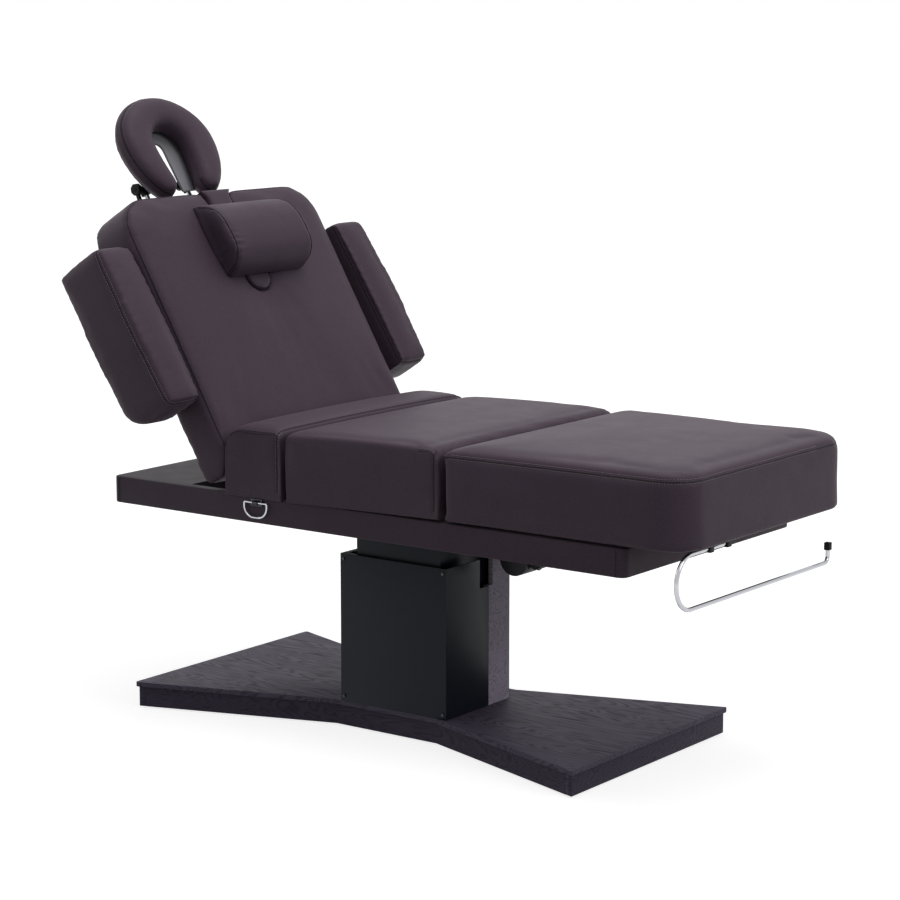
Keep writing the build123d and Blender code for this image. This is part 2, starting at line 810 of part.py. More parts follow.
def thigh_cushion():
    """The seat pad that lifts at the knee; it is thicker there."""
    middle = (thigh_head_x + thigh_foot_x) / 2
    low = pad_bottom + board_seat_gap
    top_middle = (thigh_head_top + thigh_foot_top) / 2 + thigh_crown
    head_top_x = thigh_head_x + thigh_head_lean
    head_top = thigh_head_top - pad_end_drop
    foot_top = thigh_foot_top - pad_end_drop
    edges = Polyline((head_top_x, head_top), (thigh_head_x, low), (thigh_foot_x, low),
                     (thigh_foot_x, foot_top))
    edges += ThreePointArc((thigh_foot_x, foot_top), (middle, top_middle), (head_top_x, head_top))
    reach = pad_half_width + overrun
    pad = slab(make_face(edges), -reach, reach)
    pad &= prism(drawn_plan(thigh_head_x - overrun, thigh_foot_x + overrun, pad_half_width, pad_draw),
                 low - overrun, top_middle + overrun)
    rise = math.degrees(math.atan2(thigh_foot_top - thigh_head_top, thigh_foot_x - thigh_head_x))
    across = crowned_bar(thigh_head_x - pad_crown, thigh_foot_x + pad_crown, reach,
                         low - pad_crown, thigh_head_top, thigh_crown)
    pad &= turned(across, thigh_head_x, thigh_head_top, -rise)
    pad -= block(thigh_head_x - overrun, thigh_foot_x + overrun, -pad_lip_inner, pad_lip_inner,
                 low - overrun, board_bottom + board_thickness)
    return turned(pad, hip_hinge_x, hip_hinge_z, -thigh_tilt)


def thigh_frame():
    """Steel of the thigh section: its hinge knuckles, the knee pin and the drive lever."""
    head = knuckles(hip_hinge_x, hip_hinge_z, 1, thigh_head_x - board_seat_gap, False)
    knee = knuckles(knee_hinge_x, knee_hinge_z, 0, thigh_foot_x + board_seat_gap, True)
    y0 = knee_drive_y - lever_thickness / 2
    y1 = knee_drive_y + lever_thickness / 2
    foot_bottom = frame_top - lever_foot_thickness
    low_z = hip_hinge_z - barrel_radius - lever_eye_radius
    arm = tongue(hip_hinge_x, knee_eye_z, hip_hinge_x, low_z, lever_eye_radius)
    arm += make_face(Polyline(
        (hip_hinge_x, low_z - lever_eye_radius), (thigh_head_x + lever_foot_length, foot_bottom),
        (thigh_head_x + lever_foot_length, frame_top), (hip_hinge_x, frame_top), close=True))
    lever = slab(arm, y0, y1)
    lever -= block(hip_hinge_x - lever_foot_length, thigh_head_x + lever_foot_length, y0 - overrun,
                   y1 + overrun, frame_top, frame_top + lever_foot_length)
    lever -= rod_y(eye_pin_radius + knee_eye_clearance, hip_hinge_x, knee_eye_z, y0 - overrun, y1 + overrun)
    foot = block(thigh_head_x, thigh_head_x + lever_foot_length, y0 - lever_eye_radius,
                 y1 + lever_eye_radius, foot_bottom, board_bottom)
    return group(head + knee + [turned(lever + foot, hip_hinge_x, hip_hinge_z, -thigh_tilt)])


def leg_board():
    return block(leg_head_x, leg_foot_x - leg_board_inset, -pad_lip_inner + leg_board_inset,
                 pad_lip_inner - leg_board_inset, leg_board_bottom,
                 leg_board_bottom + board_thickness)


def leg_cushion():
    """The long pad at the foot end, with two large rounded corners."""
    middle = (leg_head_x + leg_foot_x) / 2
    end_top = leg_top - pad_end_drop
    edges = Polyline((leg_head_x, end_top), (leg_head_x, leg_board_bottom), (leg_foot_x, leg_board_bottom),
                     (leg_foot_x - leg_foot_lean, end_top))
    edges += ThreePointArc((leg_foot_x - leg_foot_lean, end_top), (middle, leg_top + pad_crown),
                           (leg_head_x, end_top))
    reach = pad_half_width + overrun
    pad = slab(make_face(edges), -reach, reach)
    plan = prism(drawn_plan(leg_head_x, leg_foot_x, pad_half_width, pad_draw),
                 leg_board_bottom - overrun, leg_top + pad_crown + overrun)
    corners = plan.edges().filter_by(Axis.Z).group_by(Axis.X)[-1]
    pad &= fillet(corners, leg_corner_radius)
    pad &= crowned_bar(leg_head_x - overrun, leg_foot_x + overrun, reach,
                       leg_board_bottom - overrun, leg_top, pad_crown)
    side = pad_lip_inner - leg_board_inset
    return pad - block(leg_head_x - overrun, leg_foot_x - leg_board_inset, -side, side,
                       leg_board_bottom - overrun, leg_board_bottom + board_thickness)


def leg_frame():
    """The leg section's half of the knee hinge."""
    return group(knuckles(knee_hinge_x, knee_hinge_z, 1, leg_head_x, False))


def leg_glides():
    """Nylon strips under the leg board that slide on the frame as the knee lifts."""
    strips = []
    for side in (-1, 1):
        y = side * (glide_y - glide_width)
        strip = rod_y(glide_radius - board_seat_gap / 2, glide_x, hip_hinge_z, y - glide_width / 2,
                      y + glide_width / 2)
        strip &= block(glide_x - glide_radius, glide_x + glide_radius, y - glide_width,
                       y + glide_width, frame_top, leg_board_bottom)
        strips.append(strip)
    return group(strips)


def eye_fork(x, z, y, toward, reach, hub):
    """A fork with its pin, whose stem runs to the side given by toward."""
    inner = lever_thickness / 2 + fork_gap
    outer = inner + fork_ear
    end_x = x + toward * reach
    ear = tongue(x, z, end_x + toward * fork_ear_radius, z, fork_ear_radius)
    fork = slab(ear, y - outer, y + outer)
    mouth = block(x - toward * 2 * reach, x + toward * (reach - fork_ear_radius / 2), y - inner,
                  y + inner, z - 2 * fork_ear_radius, z + 2 * fork_ear_radius)
    fork = fork - mouth + rod_y(eye_pin_radius, x, z, y - outer, y + outer)
    hub_x = end_x + toward * fork_ear_radius
    return fork + rod_x(hub, y, z, min(end_x, hub_x), max(end_x, hub_x))


def knee_actuator_body():
    """The knee drive's square housing, hung from the head cross bar, with its motor beside it."""
    motor_x = head_bar_x + knee_clevis_width
    motor_y = knee_drive_y + knee_body_radius + knee_motor_radius / 2
    tube = knee_body_radius
    body = block(head_bar_x, knee_body_foot_x, knee_drive_y - tube, knee_drive_y + tube,
                 knee_drive_z - tube, knee_drive_z + tube)
    body += rod_x(knee_motor_radius, motor_y, knee_drive_z, motor_x, motor_x + knee_motor_length)
    half = knee_clevis_width / 2
    body += block(head_bar_x - half, head_bar_x + half, knee_drive_y - half, knee_drive_y + half,
                  knee_drive_z, frame_bottom)
    return body - rod_x(knee_rod_radius + running_clearance, knee_drive_y, knee_drive_z,
                        knee_body_foot_x - knee_body_wall_depth, knee_body_foot_x + overrun)


def knee_actuator_rod():
    stem_x = knee_pin_x - fork_reach
    rod = rod_x(knee_rod_radius, knee_drive_y, knee_drive_z, knee_body_foot_x - knee_rod_overlap, stem_x)
    return rod + eye_fork(knee_pin_x, knee_drive_z, knee_drive_y, -1, fork_reach, knee_rod_radius)


def along_drive(shape):
    """A shape drawn along X from the rear pivot, set on the back drive's slanting axis."""
    return Pos(drive_rear_x, drive_y, drive_rear_z) * Rot(0, drive_slope, 0) * shape


def back_actuator_body():
    """The back drive's tube, gearbox and motor, on its rear pivot."""
    eye = slab(Circle(drive_eye_radius), -drive_eye_width / 2, drive_eye_width / 2)
    tube = rod_x(drive_body_radius, 0, 0, -drive_body_length, 0)
    box_x = -gearbox_reach
    gearbox = rod_y(gearbox_radius, box_x, -gearbox_drop, -gearbox_width / 2, gearbox_width / 2)
    motor = rod_y(motor_radius, box_x, -gearbox_drop, gearbox_width / 2, gearbox_width / 2 + motor_length)
    body = eye + tube + gearbox + motor
    body -= slab(Circle(drive_pin_radius + running_clearance), -gearbox_width, gearbox_width)
    relief = drive_eye_width / 2
    for side in (-1, 1):
        body -= block(-drive_eye_radius - clevis_thickness, drive_eye_radius + gearbox_radius,
                      side * relief, side * (relief + gearbox_width), -gearbox_radius * 2,
                      gearbox_radius * 2)
    body -= rod_x(drive_rod_radius + running_clearance, 0, 0, -drive_body_length - overrun,
                  drive_bore_depth - drive_body_length - gearbox_reach)
    return along_drive(body)


def back_actuator_rod():
    stem = fork_reach - drive_length
    rod = rod_x(drive_rod_radius, 0, 0, stem, drive_rod_overlap - drive_body_length)
    return along_drive(rod + eye_fork(-drive_length, 0, 0, 1, fork_reach, drive_rod_radius))


def back_hinge_ears():
    """Plates that stand up from the chassis rails and carry the back's hinge pins."""
    ears = []
    for side in (-1, 1):
        outer = side * (ear_y + ear_thickness)
        low, high = sorted((side * ear_y, outer))
        plate = tongue(back_pivot_x, back_pivot_z, back_pivot_x, cross_bar_top, ear_radius)
        plate = slab(plate, low, high)
        plate &= block(back_pivot_x - 2 * ear_radius, back_pivot_x + 2 * ear_radius, low, high,
                       cross_bar_top, back_pivot_z + 2 * ear_radius)
        tip = side * (lug_y + ear_thickness)
        pin_low, pin_high = sorted((side * ear_y, tip))
        ears.append(plate + rod_y(back_pin_radius, back_pivot_x, back_pivot_z, pin_low, pin_high))
    return group(ears)


def back_outline():
    """The back cushion's side outline: a heel that clears the frame and the hip pad."""
    turn = math.radians(back_incline)
    heel_n = -math.sqrt(back_heel_radius ** 2 - back_end_radius ** 2)
    heel_mid = math.atan2(heel_n, -back_end_radius) / 2 + math.atan2(-1, 0) / 2
    end_mid = math.pi - turn / 2
    end_stop = math.pi - turn
    stop_u = back_end_radius * math.cos(end_stop)
    stop_n = back_end_radius * math.sin(end_stop)
    climb = 1 / math.tan(turn)
    low_n = back_seam_low - pad_end_drop
    high_n = back_seam_high - pad_end_drop
    front_u = (low_n - stop_n + stop_u * climb) / (climb - back_seam_rise)
    front_n = low_n + back_seam_rise * front_u
    end_u = back_length + overrun
    edges = Line((end_u, back_rear), (0, -back_heel_radius))
    edges += ThreePointArc(
        (0, -back_heel_radius),
        (back_heel_radius * math.cos(heel_mid), back_heel_radius * math.sin(heel_mid)),
        (-back_end_radius, heel_n))
    edges += Line((-back_end_radius, heel_n), (-back_end_radius, 0))
    edges += ThreePointArc(
        (-back_end_radius, 0),
        (back_end_radius * math.cos(end_mid), back_end_radius * math.sin(end_mid)), (stop_u, stop_n))
    edges += Line((stop_u, stop_n), (front_u, front_n))
    middle_n = (front_n + high_n) / 2 + back_crown
    edges += ThreePointArc((front_u, front_n), ((front_u + end_u) / 2, middle_n), (end_u, high_n))
    edges += Line((end_u, high_n), (end_u, back_rear))
    return make_face(edges)


def back_plan(inset):
    """The back's outline seen from the front, with its two rounded top corners."""
    half = back_half_width - inset
    low = -2 * back_end_radius
    high = back_length - inset
    middle = (low + high) / 2
    edges = Line((low, -half), (low, half))
    edges += ThreePointArc((low, half), (middle, half - pad_draw), (high, half))
    edges += Line((high, half), (high, -half))
    edges += ThreePointArc((high, -half), (middle, pad_draw - half), (low, -half))
    plan = make_face(edges)
    corners = plan.vertices().group_by(Axis.X)[-1]
    return fillet(corners, back_corner_radius - inset)


def face_slot(inset):
    """The keyhole of the face slot: a U with flared corners at the top of the back."""
    half = slot_half_width - inset
    low = back_length - slot_depth + slot_half_width
    flare = slot_flare_radius
    high = back_length - inset
    lean = flare * (1 - math.sqrt(0.5))
    edges = ThreePointArc((low, -half), (low - half, 0), (low, half))
    edges += Line((low, half), (back_length - flare, half))
    edges += ThreePointArc((back_length - flare, half), (back_length - lean, half + lean),
                           (back_length, half + flare))
    edges += Line((back_length, half + flare), (back_length, -half - flare))
    edges += ThreePointArc((back_length, -half - flare), (back_length - lean, -half - lean),
                           (back_length - flare, -half))
    edges += Line((back_length - flare, -half), (low, -half))
    slot = make_face(edges)
    if inset > 0:
        slot &= Pos((low + high) / 2 - half, 0) * Rectangle(high - low + 2 * half, base_width)
    return slot


def hinge_slots():
    """Room in the back's lower end for the hinge plates at both sides."""
    low = ear_y - slot_margin
    high = lug_y + ear_thickness + slot_margin
    half = ear_radius + slot_margin
    cuts = []
    for side in (-1, 1):
        y0, y1 = sorted((side * low, side * high))
        cuts.append(block(-2 * back_end_radius, back_board_low, y0, y1, 2 * back_rear, half))
    return cuts


def back_crown_bar(low_n):
    """The crown across the back, which follows the slant of its front seam."""
    slant = math.degrees(math.atan(back_seam_rise))
    across = crowned_bar(-back_corner_radius, back_length + back_corner_radius,
                         back_half_width + overrun, low_n, back_seam_low, back_crown)
    return turned(across, 0, back_seam_low, -slant)


def back_cushion():
    """The long back pad with its face slot and the recess for its board."""
    reach = back_half_width + overrun
    pad = slab(back_outline(), -reach, reach)
    pad &= prism(back_plan(0), 2 * back_rear, 2 * back_seam_high)
    pad &= back_crown_bar(4 * back_rear)
    pad -= prism(face_slot(0), 2 * back_rear, 2 * back_seam_high)
    board_front = back_rear + back_board_thickness
    pocket = prism(back_plan(back_board_inset), 2 * back_rear, board_front)
    pad -= pocket & block(back_board_low, back_length, -base_width, base_width, 2 * back_rear, board_front)
    for cut in hinge_slots():
        pad -= cut
    for side in (-1, 1):
        pad -= bracket_strap(side, 0)
    return on_back(pad)


def back_board():
    """The plywood panel behind the back pad, slotted like it."""
    board_front = back_rear + back_board_thickness
    board = prism(back_plan(back_board_inset), back_rear, board_front)
    board &= block(back_board_low, back_length, -base_width, base_width, back_rear, board_front)
    board -= prism(face_slot(0), 2 * back_rear, board_front + overrun)
    for side in (-1, 1):
        board -= bracket_strap(side, 0)
    return on_back(board)


def face_plug():
    """The padded plug that fills the face slot; it pushes out through the rear."""
    front = back_seam_low + back_seam_rise * back_length + back_crown
    plug = prism(face_slot(plug_clearance), plug_rear, 2 * front)
    cap = back_crown_bar(4 * back_rear)
    arch = slab(back_outline(), -back_half_width, back_half_width)
    plug &= Pos(0, 0, plug_crown) * cap
    return on_back(plug & Pos(0, 0, plug_crown) * arch)


def back_hinge_frame():
    """Steel of the back: hinge lugs, a torsion tube, straps on the board and the drive lever."""
    lugs = []
    for side in (-1, 1):
        y0, y1 = sorted((side * lug_y, side * (lug_y + ear_thickness)))
        plate = slab(tongue(0, 0, torsion_tube_u, torsion_tube_rear, ear_radius), y0, y1)
        plate -= rod_y(back_pin_radius + running_clearance, 0, 0, y0 - overrun, y1 + overrun)
        lugs.append(plate)
    reach = lug_y + ear_thickness
    half = torsion_tube_radius
    steel = block(torsion_tube_u - half, torsion_tube_u + half, -reach, reach,
                  torsion_tube_rear - half, torsion_tube_rear + half)
    for lug in lugs:
        steel += lug
    strap_rear = torsion_tube_rear
    for y in (-strap_y, strap_y):
        steel += block(torsion_tube_u, torsion_tube_u + strap_length, y - strap_width / 2,
                       y + strap_width / 2, strap_rear, back_rear)
    turn = math.radians(lever_angle - 180 + back_incline)
    eye_u = lever_arm * math.cos(turn)
    eye_n = -lever_arm * math.sin(turn)
    half = lever_thickness / 2
    plate = tongue(torsion_tube_u, torsion_tube_rear, eye_u, eye_n, torsion_tube_radius)
    plate += Pos(eye_u, eye_n) * Circle(lever_hole_radius + lever_hole_wall)
    lever = slab(plate, -drive_y - half, -drive_y + half)
    steel += lever
    steel -= rod_y(lever_hole_radius, eye_u, eye_n, -drive_y - gearbox_width, -drive_y + gearbox_width)
    return on_back(steel)


def bracket_strap(side, spare):
    """The flat strap of an armrest bracket, let into the rear of the back."""
    low = arm_pivot_u - arm_bracket_width / 2
    outer = arm_bracket_y + arm_plate_thickness
    y0, y1 = sorted((side * arm_bracket_inner_y, side * outer))
    return block(low - spare, low + arm_bracket_width + spare, y0, y1, back_rear,
                 back_rear + arm_plate_thickness)


def armrest_bracket(side):
    """An angle bracket on the back's side, with the pin that its armrest turns on."""
    half = arm_bracket_width / 2
    y0, y1 = sorted((side * arm_bracket_y, side * (arm_bracket_y + arm_plate_thickness)))
    upright = tongue(arm_pivot_u, arm_pivot_rear, arm_pivot_u, back_rear, half)
    plate = slab(upright, y0, y1) & block(arm_pivot_u - half, arm_pivot_u + half, y0, y1, back_rear, half)
    steel = bracket_strap(side, 0) + plate
    washer_y = arm_plate_inner_y - arm_washer_gap
    w0, w1 = sorted((side * (arm_bracket_y + arm_plate_thickness), side * washer_y))
    steel += rod_y(arm_washer_radius, arm_pivot_u, arm_pivot_rear, w0, w1)
    head_y = arm_inner_y + arm_washer_gap
    p0, p1 = sorted((side * washer_y, side * (head_y + arm_pin_head)))
    steel += rod_y(arm_pin_radius, arm_pivot_u, arm_pivot_rear, p0, p1)
    h0, h1 = sorted((side * head_y, side * (head_y + arm_pin_head)))
    head = Pos(arm_pivot_u, arm_pivot_rear) * RegularPolygon(arm_pin_head_radius, hexagon_count)
    return on_back(steel + slab(head, h0, h1))


def armrest_arm(side):
    """The steel bar on the inner face of an armrest pad."""
    y0, y1 = sorted((side * arm_plate_inner_y, side * arm_inner_y))
    plate = slab(link(arm_pivot_u, arm_pivot_rear, arm_plate_high, arm_pivot_rear, arm_plate_half_width), y0, y1)
    hole = rod_y(arm_pin_radius + running_clearance, arm_pivot_u, arm_pivot_rear, y0 - overrun, y1 + overrun)
    return on_back(plate - hole)


def armrest_pad(side):
    """A deep rectangular pad with a rounded heel and slightly crowned faces."""
    middle_u = (arm_low + arm_high) / 2
    middle_n = (arm_front + arm_rear) / 2
    edges = Line((arm_high, arm_rear), (arm_low, arm_rear))
    edges += Line((arm_low, arm_rear), (arm_low, arm_front))
    edges += ThreePointArc((arm_low, arm_front), (middle_u, arm_front + arm_crown), (arm_high, arm_front))
    edges += ThreePointArc((arm_high, arm_front), (arm_high + arm_crown / 2, middle_n), (arm_high, arm_rear))
    outline = make_face(edges)
    low_corners = outline.vertices().group_by(Axis.X)[0].sort_by(Axis.Y)
    outline = fillet(low_corners[0], arm_heel_radius)
    low_front = outline.vertices().group_by(Axis.Y)[-1].sort_by(Axis.X)
    outline = fillet(low_front, arm_corner_radius)
    y0, y1 = sorted((side * arm_inner_y, side * arm_outer_y))
    pad = slab(outline, y0 - arm_crown, y1 + arm_crown)
    bulge = side * (arm_outer_y + arm_crown)
    plan = Polyline((arm_low - arm_crown, side * arm_outer_y), (arm_low - arm_crown, side * arm_inner_y),
                    (arm_high + arm_crown, side * arm_inner_y), (arm_high + arm_crown, side * arm_outer_y))
    plan += ThreePointArc((arm_high + arm_crown, side * arm_outer_y), (middle_u, bulge),
                          (arm_low - arm_crown, side * arm_outer_y))
    pad &= prism(make_face(plan), 2 * arm_rear, 2 * arm_front)
    depth = arm_pin_head + arm_washer_gap + recess_clearance
    r0, r1 = sorted((side * (arm_inner_y - overrun), side * (arm_inner_y + depth)))
    recess = rod_y(arm_pin_head_radius + recess_clearance, arm_pivot_u, arm_pivot_rear, r0, r1)
    return on_back(pad - recess)


def pillow():
    """A D-shaped bolster with crowned ends, flat where it lies on the back."""
    length = pillow_high - pillow_low
    middle_u = (pillow_low + pillow_high) / 2
    seat = back_seam_low + back_seam_rise * middle_u
    shoulder = pillow_height * math.sqrt(0.5)
    edges = Line((pillow_low, seat), (pillow_high, seat))
    edges += ThreePointArc((pillow_high, seat), (pillow_high - length / 8, seat + shoulder),
                           (middle_u, seat + pillow_height))
    edges += ThreePointArc((middle_u, seat + pillow_height), (pillow_low + length / 16, seat + shoulder),
                           (pillow_low, seat))
    body = slab(make_face(edges), pillow_center_y - pillow_length / 2, pillow_center_y + pillow_length / 2)
    low = pillow_low - overrun
    high = pillow_high + overrun
    far_y = pillow_center_y - pillow_length / 2
    near_y = pillow_center_y + pillow_length / 2
    far_edge = far_y + pillow_end_crown
    near_edge = near_y - pillow_end_crown
    plan = Line((low, near_edge), (low, far_edge))
    plan += ThreePointArc((low, far_edge), (middle_u, far_y), (high, far_edge))
    plan += Line((high, far_edge), (high, near_edge))
    plan += ThreePointArc((high, near_edge), (middle_u, near_y), (low, near_edge))
    body &= prism(make_face(plan), seat - overrun, seat + pillow_height + overrun)
    arch = slab(back_outline(), -back_half_width, back_half_width)
    body -= Pos(0, 0, pillow_seat_gap) * arch
    ridge = slot_half_width + pillow_seat_gap
    arch &= block(0, back_length, -ridge, ridge, back_rear, 2 * back_seam_high)
    return on_back(body - Pos(0, 0, plug_crown + pillow_seat_gap) * arch)


def cradle_sockets():
    """Two tubes behind the board that hold the cradle's rods, on a shared plate."""
    plate_rear = back_rear - socket_plate_thickness
    margin = socket_radius + socket_plate_margin
    shapes = []
    for y in (-socket_y, socket_y):
        tube = block(socket_low, socket_high, y - socket_radius, y + socket_radius,
                     socket_rear - socket_radius, socket_rear + socket_radius)
        seat = block(socket_low, socket_high - socket_plate_margin, y - margin, y + margin,
                     plate_rear, back_rear)
        rib = block(socket_low, socket_high - socket_plate_margin, y - socket_radius / 2,
                    y + socket_radius / 2, socket_rear, plate_rear)
        socket = tube + seat + rib
        socket -= rod_x(cradle_rod_radius + running_clearance, y, socket_rear, socket_low - overrun,
                        socket_high + overrun)
        shapes.append(on_back(socket))
    return group(shapes)


def cradle_rods():
    high = cradle_pivot_u - crossbar_radius
    return group(on_back(rod_x(cradle_rod_radius, y, socket_rear, cradle_rod_low, high))
                 for y in (-socket_y, socket_y))


def cradle_crossbar():
    """The bar across the rods that the cradle tilts on, with a square clamp on each rod."""
    cross = rod_y(crossbar_radius, cradle_pivot_u, socket_rear, -crossbar_half_length, crossbar_half_length)
    cross += rod_y(crossbar_radius / 2, cradle_pivot_u, socket_rear, -crossbar_half_length,
                   crossbar_half_length + cam_gap + cam_thickness)
    collar = cradle_rod_radius + cam_gap
    for y in (-socket_y, socket_y):
        clamp = block(cradle_pivot_u - 2 * crossbar_radius - cam_gap, cradle_pivot_u, y - collar,
                      y + collar, socket_rear - collar, socket_rear + collar)
        cross += clamp - rod_x(cradle_rod_radius, y, socket_rear, socket_high, cradle_pivot_u - crossbar_radius)
    return on_back(cross)


def cradle_plate_rear():
    return cradle_rear - cradle_plate_thickness


def tilt_arms():
    """Two flat arms from the crossbar up to the cradle's plate."""
    arms = []
    end_n = cradle_plate_rear() - tilt_arm_thickness / 2
    for side in (-1, 1):
        y0, y1 = sorted((side * (tilt_arm_y - tilt_arm_width / 2), side * (tilt_arm_y + tilt_arm_width / 2)))
        hub = slab(Pos(cradle_pivot_u, socket_rear) * Circle(crossbar_radius + tilt_arm_thickness / 2), y0, y1)
        bend_u = cradle_pivot_u + crossbar_radius * 3
        run = tongue(bend_u, end_n, cradle_pivot_u, socket_rear, tilt_arm_thickness / 2)
        run += Pos((bend_u + tilt_arm_high) / 2, end_n) * Rectangle(tilt_arm_high - bend_u, tilt_arm_thickness)
        arm = hub + slab(run, y0, y1)
        bore = crossbar_radius + running_clearance
        arm -= rod_y(bore, cradle_pivot_u, socket_rear, y0 - overrun, y1 + overrun)
        arms.append(arm)
    return arms


def cradle_arch(half_height, half_width, end):
    """A half-oval arch in two sweeps and a crown, carried on by arcs to the two tips."""
    side = cradle_side_share * half_width
    crown = (half_width - side) ** 2 + half_height ** 2 - side ** 2
    crown = crown / (2 * (half_height - side))
    low = crown - half_height
    spread = math.hypot(low, half_width - side)
    joint = (crown * low / spread - low, crown * (half_width - side) / spread)
    turn = math.atan2(joint[0], joint[1] - half_width + side) / 2
    bulge = (side * math.sin(turn), half_width - side + side * math.cos(turn))
    edges = TangentArc((0, half_width), end, tangent=(-1, 0))
    edges += ThreePointArc((0, half_width), bulge, joint)
    edges += ThreePointArc(joint, (half_height, 0), (joint[0], -joint[1]))
    edges += ThreePointArc((joint[0], -joint[1]), (bulge[0], -bulge[1]), (0, -half_width))
    edges += TangentArc((0, -half_width), (end[0], -end[1]), tangent=(-1, 0))
    return edges


def cradle_end(half_width, away):
    """Where the horseshoe's edge meets its round tip; away is 1 outside and -1 inside."""
    drop = cradle_center_u - cradle_tip_u
    core = half_width - away * cradle_tip_radius
    middle = (core ** 2 - cradle_tip_y ** 2 - drop ** 2) / (2 * (core - cradle_tip_y))
    reach = away * cradle_tip_radius / (core - middle)
    return -drop * (1 + reach), cradle_tip_y + (cradle_tip_y - middle) * reach


def cradle_cushion():
    """A thick horseshoe pad with round tips and well-rounded edges."""
    outer_end = cradle_end(cradle_half_width, 1)
    inner_end = cradle_end(cradle_hole_half_width, -1)
    edges = cradle_arch(cradle_half_height, cradle_half_width, outer_end)
    edges += cradle_arch(cradle_hole_half_height, cradle_hole_half_width, inner_end)
    spread = math.atan2(inner_end[1] - outer_end[1], inner_end[0] - outer_end[0]) - math.pi / 2
    tip = (cradle_tip_u - cradle_center_u + cradle_tip_radius * math.cos(spread),
           cradle_tip_y + cradle_tip_radius * math.sin(spread))
    for side in (-1, 1):
        edges += ThreePointArc((outer_end[0], side * outer_end[1]), (tip[0], side * tip[1]),
                               (inner_end[0], side * inner_end[1]))
    pad = prism(Pos(cradle_center_u, 0) * make_face(edges), cradle_rear, cradle_front)
    pad = chamfer(pad.faces().sort_by(Axis.Z)[-1].edges(), cradle_front_bevel)
    shoulder = cradle_front - cradle_front_bevel
    rim = [edge for edge in pad.edges() if abs(edge.center().Z - shoulder) < overrun / 2]
    pad = chamfer(rim, cradle_front_bevel * second_bevel_share)
    pad = chamfer(pad.faces().sort_by(Axis.Z)[0].edges(), cradle_rear_bevel)
    return on_back(pad)


def cradle_plate():
    """The plate that the cradle pad lies on, slotted from below, with its arms."""
    tip = cradle_tip_radius
    tip_u = cradle_tip_u - cradle_center_u
    outline = cradle_arch(cradle_half_height - tip, cradle_half_width - tip, (tip_u, cradle_tip_y))
    outline += Line((tip_u, cradle_tip_y), (tip_u, -cradle_tip_y))
    slot_u = cradle_plate_slot_high - cradle_plate_slot
    plan = Pos(cradle_center_u, 0) * make_face(outline) - Pos(slot_u, 0) * Circle(cradle_plate_slot)
    low = cradle_tip_u - overrun
    plan -= Pos((slot_u + low) / 2, 0) * Rectangle(slot_u - low, 2 * cradle_plate_slot)
    plate = prism(plan, cradle_plate_rear(), cradle_rear)
    for arm in tilt_arms():
        plate += arm
    return on_back(plate)


def cam_lever():
    """The locking cam and its handle on the near end of the crossbar."""
    y0 = crossbar_half_length + cam_gap / 2
    y1 = y0 + cam_thickness
    cam = slab(RegularPolygon(cam_radius, octagon_count), y0, y1)
    handle = Pos(-cam_lever_length / 2, -cam_lever_width / 2)
    handle *= Rot(0, 0, math.degrees(math.atan2(cam_lever_width, cam_lever_length)))
    handle *= Rectangle(math.hypot(cam_lever_length, cam_lever_width), cam_lever_width)
    lever = cam + slab(handle, y0 + cam_gap, y1 - cam_gap)
    lever -= rod_y(crossbar_radius / 2 + running_clearance, 0, 0, y0 - overrun, y1 + overrun)
    return on_back(Pos(cradle_pivot_u, 0, socket_rear) * lever)


def roll_bar():
    """The chrome rod: a lead-in under the pad, a half-round hook, the bar and an upturned end."""
    top = roll_bar_low + 2 * roll_bar_hook_radius
    x = roll_bar_x
    corner_y = roll_bar_far_y - roll_bar_bend
    corner = roll_bar_bend * (1 - math.sqrt(0.5))
    path = Line((x, roll_bar_lead_y, top), (x, roll_bar_hook_y, top))
    path += ThreePointArc((x, roll_bar_hook_y, top),
                          (x, roll_bar_hook_y - roll_bar_hook_radius, top - roll_bar_hook_radius),
                          (x, roll_bar_hook_y, roll_bar_low))
    path += Line((x, roll_bar_hook_y, roll_bar_low), (x, corner_y, roll_bar_low))
    path += ThreePointArc((x, corner_y, roll_bar_low),
                          (x, roll_bar_far_y - corner, roll_bar_low + corner),
                          (x, roll_bar_far_y, roll_bar_low + roll_bar_bend))
    path += Line((x, roll_bar_far_y, roll_bar_low + roll_bar_bend), (x, roll_bar_far_y, roll_bar_tip_z))
    section = Plane(origin=(x, roll_bar_lead_y, top), z_dir=(0, -1, 0))
    section *= RegularPolygon(roll_bar_radius, roll_bar_side_count)
    return sweep(section, path=path)


def roll_bar_tip():
    """The square rubber cap on the end of the roll bar."""
    half = tip_size / 2
    low = roll_bar_tip_z - tip_cover
    cap = block(roll_bar_x - half, roll_bar_x + half, roll_bar_far_y - half, roll_bar_far_y + half,
                low, low + tip_height)
    cap = chamfer(cap.faces().sort_by(Axis.Z)[-1].edges(), tip_bevel)
    socket = prism(Circle(roll_bar_radius + running_clearance), low - overrun, roll_bar_tip_z)
    return cap - Pos(roll_bar_x, roll_bar_far_y, 0) * socket


def roll_bar_clips():
    """Two saddle clips that hold the roll bar's lead-in under the leg section."""
    top = roll_bar_low + 2 * roll_bar_hook_radius
    clips = []
    for y in (roll_bar_lead_y - clip_length, roll_bar_lead_y - clip_length - clip_spread):
        y1 = y + clip_length
        half = roll_bar_radius + clip_wall
        clip = block(roll_bar_x - half, roll_bar_x + half, y, y1, top - half, leg_board_bottom)
        clip += block(roll_bar_x - clip_plate_width / 2, roll_bar_x + clip_plate_width / 2, y, y1,
                      leg_board_bottom - clip_wall, leg_board_bottom)
        bore = roll_bar_radius + running_clearance
        clips.append(clip - rod_y(bore, roll_bar_x, top, y - overrun, y1 + overrun))
    return group(clips)


